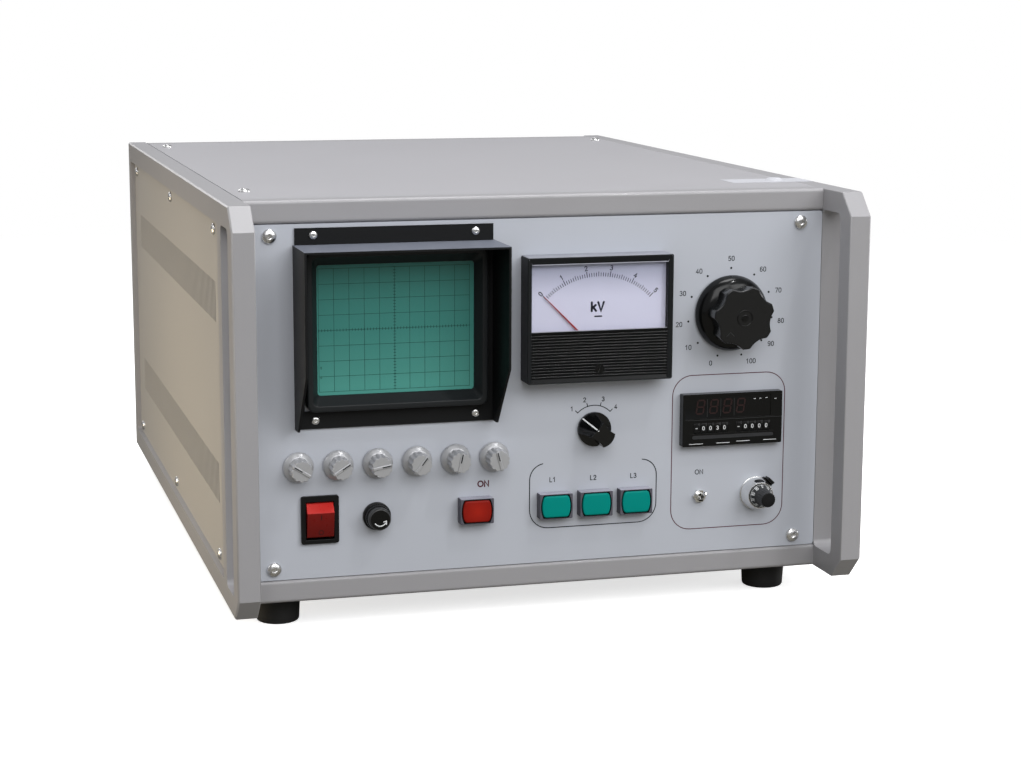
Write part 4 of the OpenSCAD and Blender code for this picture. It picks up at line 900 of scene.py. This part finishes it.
DIAL_X = 153.2
eased("dial_body", "turns_dial_shell", 0.3, dial_chrome)
eased("dial_lock", "turns_dial_brake", 0.3, satin_black, "turns_lock")
piece("turns_dial_knob",
      [turned(DIAL_X, ROW_Z, [(0.2, 6.6), (8.1, 6.6), (8.1, 11.2), (6.0, 14.5), (5.6, 15.5),
                              (0.2, 15.7)], 0.3),
       form(DIAL_X, ROW_Z, lobes(5.5, 20, 0.3, 240), [(0.0, 15.0), (0.15, 24.2), (0.7, 24.95),
                                                     (1.3, 25.0)], 0.4)],
      turns_black, "turns_knob", ("dial_knob",))


def ring_top(u, v):
    """Depth of the dial's sloping ring at a distance from its axis."""
    return 11.2 + (8.1 - np.hypot(u, v)) * 3.3 / 2.1


def shell_top(u, v):
    """Depth of the shell's cone at a distance from its axis."""
    return 4.8 + (11.0 - np.hypot(u, v)) * 6.2 / 2.0


marks = []
for k in range(10):
    marks += laid(write(str(10 * k) if k else "0", *polar(DIAL_X, ROW_Z, 7.0, 36 * k), 1.4, 0.26,
                        angle=36 * k), DIAL_X, ROW_Z, ring_top)
    for step in range(1, 5):
        angle = 36 * k + 7.2 * step
        marks += laid([stroke(run(*[polar(DIAL_X, ROW_Z, r, angle) for r in (7.5, 8.0)]), 0.16)],
                      DIAL_X, ROW_Z, ring_top)
printed("turns_dial_numerals", marks, ink_white, "turns_knob")
strips = [stroke(arc(DIAL_X, ROW_Z, 9.9, 9.9, a, a + 15, 12), 1.2) for a in (74, 92)]
printed("turns_dial_counter", laid(strips, DIAL_X, ROW_Z, shell_top), gloss_black)

# Comparator: unlit digits, thin dividers, bars and marks, numbered wheels

COMP_X, COMP_D = 133.1, 6.5
DIGIT_D = COMP_D - 0.6 + INK_D
eased("comparator_case", "comparator_bezel", 0.3, gloss_black)


def seven(x, z, w, h, width, d):
    """All seven segments of a digit, leaning right by 8 degrees."""
    g = width * 0.75
    hw, hh = w / 2, h / 2
    runs = [((-hw + g, v), (hw - g, v)) for v in (hh, 0, -hh)]
    runs += [((u, side * g), (u, side * (hh - g))) for side in (1, -1) for u in (-hw, hw)]
    lean = math.tan(math.radians(8))
    return [stroke(run(*[(x + u + v * lean, z + v) for u, v in pair]), width, d) for pair in runs]


segments = []
for k in range(4):
    segments += seven(109.9 + 9.7 * k, 138.2, 5.0, 9.2, 1.1, DIGIT_D)
printed("comparator_digits", segments, ink_dim)
printed("comparator_dividers",
        [stroke(run((114.8 + 9.7 * k, 131.4), (114.8 + 9.7 * k, 143.4)), 0.35, DIGIT_D)
         for k in range(3)]
        + [stroke(run((101.0, 129.3), (168.2, 129.3)), 0.35, COMP_D + INK_D)], ink_faint)
printed("comparator_ledge", [stroke(run((105.2, 117.4), (161.7, 117.4)), 2.4, COMP_D + INK_D)],
        ink_shelf)
printed("comparator_lines",
        [stroke(run((a, h), (b, h)), 0.36, COMP_D + INK_D)
         for a, b, h in ((102.1, 111.6, 112.9), (121.7, 131.0, 112.9), (136.2, 145.7, 113.5),
                         (155.8, 165.0, 113.5), (148.2, 149.4, 142.4), (152.3, 153.5, 142.5),
                         (156.8, 158.0, 142.7), (163.5, 164.7, 141.8))], ink_white)

WHEEL_Z, WHEEL_D, WHEEL_R = 123.6, -2.0, 9.0
piece("comparator_bars",
      [form(COMP_X - 0.9, WHEEL_Z + side * 5.1, round_rect(62, 3.0, 0.2),
            [(0, 6.3), (0, 6.47), (0.06, 6.53), (0.3, 6.53)], 0.2) for side in (-1, 1)],
      gloss_black)


def on_wheel(shapes, x, turn):
    """Puts flat print on the facet of a ten-sided wheel that is a turn above the front one."""
    s, c = math.sin(math.radians(turn)), math.cos(math.radians(turn))
    out = WHEEL_R * math.cos(math.pi / 10) + 0.04
    moved = []
    for verts, faces in shapes:
        v = verts[:, 2]
        moved.append((np.stack([x + verts[:, 0], PANEL_Y - WHEEL_D - out * c + v * s,
                                WHEEL_Z + out * s + v * c], 1), faces))
    return moved


for row, first, shown in (("high", -25.6, "-0030"), ("low", 4.8, "-0000")):
    for number, figure in enumerate(shown):
        x = COMP_X + first + 5.05 * number - 0.5
        digits = []
        for k in range(10):
            letter = "-+"[k % 2] if number == 0 else str((int(figure) + k) % 10)
            digits += on_wheel(write(letter, 0, 0, 2.4, 0.42), x, 36 * k)
        printed(f"{row}_wheel_{number + 1}_digits", digits, ink_white, f"{row}_digit_{number + 1}")

# Screws: domed heads with a hexagon or a cross in their tops


def hexagon(size, n=48):
    """Outline with flats at a distance size: size / cos of the angle from the nearest flat."""
    turn = np.arange(n) / n * TURN
    off = (turn + math.pi / 6) % (math.pi / 3) - math.pi / 6
    return (size / np.cos(off))[:, None] * np.stack([np.cos(turn), np.sin(turn)], 1)


def cross(arm, half, n=48):
    """Outline of a plus sign: the further of two boxes, min(arm/|cos|, half/|sin|) and turned."""
    turn = np.arange(n) / n * TURN
    c, s = np.abs(np.cos(turn)) + 1e-9, np.abs(np.sin(turn)) + 1e-9
    far = np.maximum(np.minimum(arm / c, half / s), np.minimum(half / c, arm / s))
    return far[:, None] * np.stack([np.cos(turn), np.sin(turn)], 1)


def screw_head(r, h, recess, deep, at, out, up):
    """Dome h * sqrt(1 - (s/r)^2 * 0.8) over radius s, down into a recess, at a point of a face
    whose outward and upward directions are given."""
    n = len(recess)
    circle = round_hole(1.0, n)(0)
    s = np.array([1.0, 1.0, 0.97, 0.9, 0.8, 0.68, 0.56]) * r
    lift = np.array([0.0, 0.35, 0.5, 0.64, 0.77, 0.88, 0.95]) * h
    outlines = [circle * k for k in s] + [recess, recess * 0.97, recess * 0.9]
    lifts = list(lift) + [h, h - 0.15, h - deep]
    out, up = np.asarray(out, dtype=float), np.asarray(up, dtype=float)
    side = np.cross(up, out)
    rings = np.array([np.asarray(at) + o[:, :1] * side + o[:, 1:] * up + t * out
                      for o, t in zip(outlines, lifts)])
    return skin(rings)


hex_m5, hex_m3, cross_m4 = hexagon(1.75), hexagon(1.05), cross(2.1, 0.5)
PANEL_SCREW, CASE_SCREW = (4.75, 2.7, hex_m5, 2.0), (3.9, 2.2, cross_m4, 1.3)
heads = []
for side in (-1, 1):
    x = side * 181.6
    for z in (43.4, 261.4):
        heads.append(screw_head(*PANEL_SCREW, (x, PANEL_Y, z), (0, -1, 0), (0, 0, 1)))
        heads.append(screw_head(*PANEL_SCREW, (x, 283.3, z), (0, 1, 0), (0, 0, 1)))
    for z in (261.66, 141.4):
        heads.append(screw_head(2.75, 1.6, hex_m3, 1.1, (TUBE_X + side * 53.5, PANEL_Y - 1.5, z),
                                (0, -1, 0), (0, 0, 1)))
piece("panel_screw_heads", heads, screw_steel, swaps=("panel_screws",))
SEALED = (187.3, -184)
heads = []
for side in (-1, 1):
    for y in (-196, 30, 256):
        for z in (43.2, 261.6):
            heads.append(screw_head(*CASE_SCREW, (side * 209.0, y, z), (side, 0, 0), (0, 0, 1)))
    x = side * SEALED[0]
    for y in (SEALED[1], 226.3):
        tall = 1.9 if (x, y) == SEALED else 2.2
        heads.append(screw_head(3.9, tall, cross_m4, 1.3, (x, y, 284.2), (0, 0, 1), (0, 1, 0)))
        heads.append(screw_head(*CASE_SCREW, (x, y, 20.6), (0, 0, -1), (0, 1, 0)))
piece("case_screw_heads", heads, screw_steel, swaps=("case_screws",))


def paper_seal():
    """Blank paper over the seam of the cover: a sheet that rises over the screw head under it as
    2.1 * sqrt(1 - (r / 5.8)^4), closed by the same sheet 0.06 mm lower."""
    x, y = np.meshgrid(np.linspace(152, 211.5, 61), np.linspace(-198, -170, 33), indexing="ij")
    near = np.clip(1 - (np.hypot(x - SEALED[0], y - SEALED[1]) / 5.8) ** 4, 0, 1)
    rings = np.stack([x, y, 284.3 + 2.1 * near ** 0.5], 2)
    under = rings[:, ::-1].copy()
    under[..., 2] -= 0.06
    return skin(np.concatenate([rings, under], 1))


piece("paper_seal", [paper_seal()], seal_paper)

# Camera, floor and light

YAW, PITCH, ROLL = 0.27485, -0.17962, 0.00388
CAMERA_AT = (-0.41144, -1.62658, 0.41955)
FOCAL_PX, WIDTH_PX, SENSOR = 2203.99, 1021, 36.0


def stand(obj, side, up, back, at):
    """Puts a lamp or camera into the scene by its three axes and its place."""
    obj.matrix_world = Matrix([*zip(side, up, back, at), (0, 0, 0, 1)])
    bpy.context.scene.collection.objects.link(obj)


def make_camera():
    """Camera of the photograph: axes from yaw, pitch and roll, lens from the focal length."""
    ahead = np.array([math.sin(YAW) * math.cos(PITCH), math.cos(YAW) * math.cos(PITCH),
                      math.sin(PITCH)])
    right = np.array([math.cos(YAW), -math.sin(YAW), 0.0])
    up = np.cross(right, ahead)
    data = bpy.data.cameras.new("camera")
    data.sensor_width = SENSOR
    data.lens = SENSOR * FOCAL_PX / WIDTH_PX
    data.clip_start = 0.05
    camera = bpy.data.objects.new("camera", data)
    stand(camera, right * math.cos(ROLL) + up * math.sin(ROLL),
          up * math.cos(ROLL) - right * math.sin(ROLL), -ahead, CAMERA_AT)
    bpy.context.scene.camera = camera


def lamp(name, place, target, size, power, colour=(1, 1, 1)):
    """Square soft box at a place, turned to a target."""
    data = bpy.data.lights.new(name, "AREA")
    data.size = size
    data.energy = power
    data.color = colour
    back = np.array(place, dtype=float) - np.array(target, dtype=float)
    back /= np.linalg.norm(back)
    side = np.cross((0, 0, 1), back)
    side /= np.linalg.norm(side)
    stand(bpy.data.objects.new(name, data), side, np.cross(back, side), back, place)


def plain(tree, kind, **values):
    """Adds a shader with the values of its sockets."""
    node = tree.nodes.new("ShaderNode" + kind)
    for name, value in values.items():
        feed(tree, node.inputs[name], value)
    return node


def mixed(tree, share, first, second):
    """Mixes two shaders: all of the first at a share of 0, all of the second at 1."""
    mix = plain(tree, "MixShader", Fac=share)
    tree.links.new(first.outputs[0], mix.inputs[1])
    tree.links.new(second.outputs[0], mix.inputs[2])
    return mix


def for_camera(tree, other, seen):
    """The second shader where the camera or a clear part looks, the first elsewhere."""
    path = tree.nodes.new("ShaderNodeLightPath")
    look = Wire(tree, path.outputs["Is Camera Ray"])
    look = look.maths("MAXIMUM", look, Wire(tree, path.outputs["Is Transmission Ray"]))
    return mixed(tree, look, other, seen)


def make_floor():
    """White floor that takes a soft shadow near the part and fades into plain white 0.7 m away."""
    mesh = bpy.data.meshes.new("floor")
    mesh.from_pydata([(-6, -6, 0), (6, -6, 0), (6, 6, 0), (-6, 6, 0)], [], [(0, 1, 2, 3)])
    floor = bpy.data.objects.new("floor", mesh)
    bpy.context.scene.collection.objects.link(floor)
    material = bpy.data.materials.new("floor_white")
    material.use_nodes = True
    tree = material.node_tree
    tree.nodes.clear()
    lit = plain(tree, "BsdfDiffuse", Color=(0.9, 0.9, 0.9))
    glow = plain(tree, "Emission", Strength=0.7)
    near = tree.nodes.new("ShaderNodeAddShader")
    tree.links.new(lit.outputs[0], near.inputs[0])
    tree.links.new(glow.outputs[0], near.inputs[1])
    place = tree.nodes.new("ShaderNodeTexCoord")
    away = tree.nodes.new("ShaderNodeVectorMath")
    away.operation = "LENGTH"
    tree.links.new(place.outputs["Object"], away.inputs[0])
    far = (Wire(tree, away.outputs["Value"]) - 0.7) * 0.7
    share = far.maths("MINIMUM", far.maths("MAXIMUM", far, 0.0), 1.0)
    seen = mixed(tree, share, near, plain(tree, "Emission"))
    bounce = plain(tree, "BsdfDiffuse", Color=(0.2, 0.19, 0.165))
    out = tree.nodes.new("ShaderNodeOutputMaterial")
    tree.links.new(for_camera(tree, bounce, seen).outputs[0], out.inputs["Surface"])
    mesh.materials.append(material)


def make_light():
    """A soft cool sky, white where the camera looks, and eight lamps."""
    world = bpy.data.worlds.new("studio")
    bpy.context.scene.world = world
    world.use_nodes = True
    tree = world.node_tree
    tree.nodes.clear()
    sky = plain(tree, "Background", Color=(0.97, 0.98, 1.0), Strength=0.36)
    white = plain(tree, "Background", Color=(1, 1, 1))
    out = tree.nodes.new("ShaderNodeOutputWorld")
    tree.links.new(for_camera(tree, sky, white).outputs[0], out.inputs["Surface"])

    lamp("key", (1.5, -2.3, 1.5), (0, -0.1, 0.15), 1.5, 29)
    lamp("fill", (-0.3, -2.6, 1.9), (0, -0.1, 0.15), 1.8, 37)
    lamp("top", (0.3, -0.25, 2.4), (0.05, 0, 0.1), 1.0, 25)
    lamp("right", (2.6, 0.2, 0.6), (0.2, -0.1, 0.15), 0.8, 20)
    lamp("warm_bounce", (-0.65, -0.05, 0.04), (-0.2, -0.05, 0.03), 0.3, 1.8, (1.0, 0.83, 0.58))
    lamp("left", (-2.4, -0.2, 1.6), (0, 0, 0.15), 1.0, 12)
    lamp("back", (-0.8, 2.6, 1.3), (0, 0.2, 0.15), 1.2, 12)
    lamp("spark", (0.68, -1.06, 1.99), (-0.1, -0.25, 0.11), 0.08, 5)


make_camera()
make_floor()
make_light()
bpy.context.scene.view_settings.view_transform = "Standard"
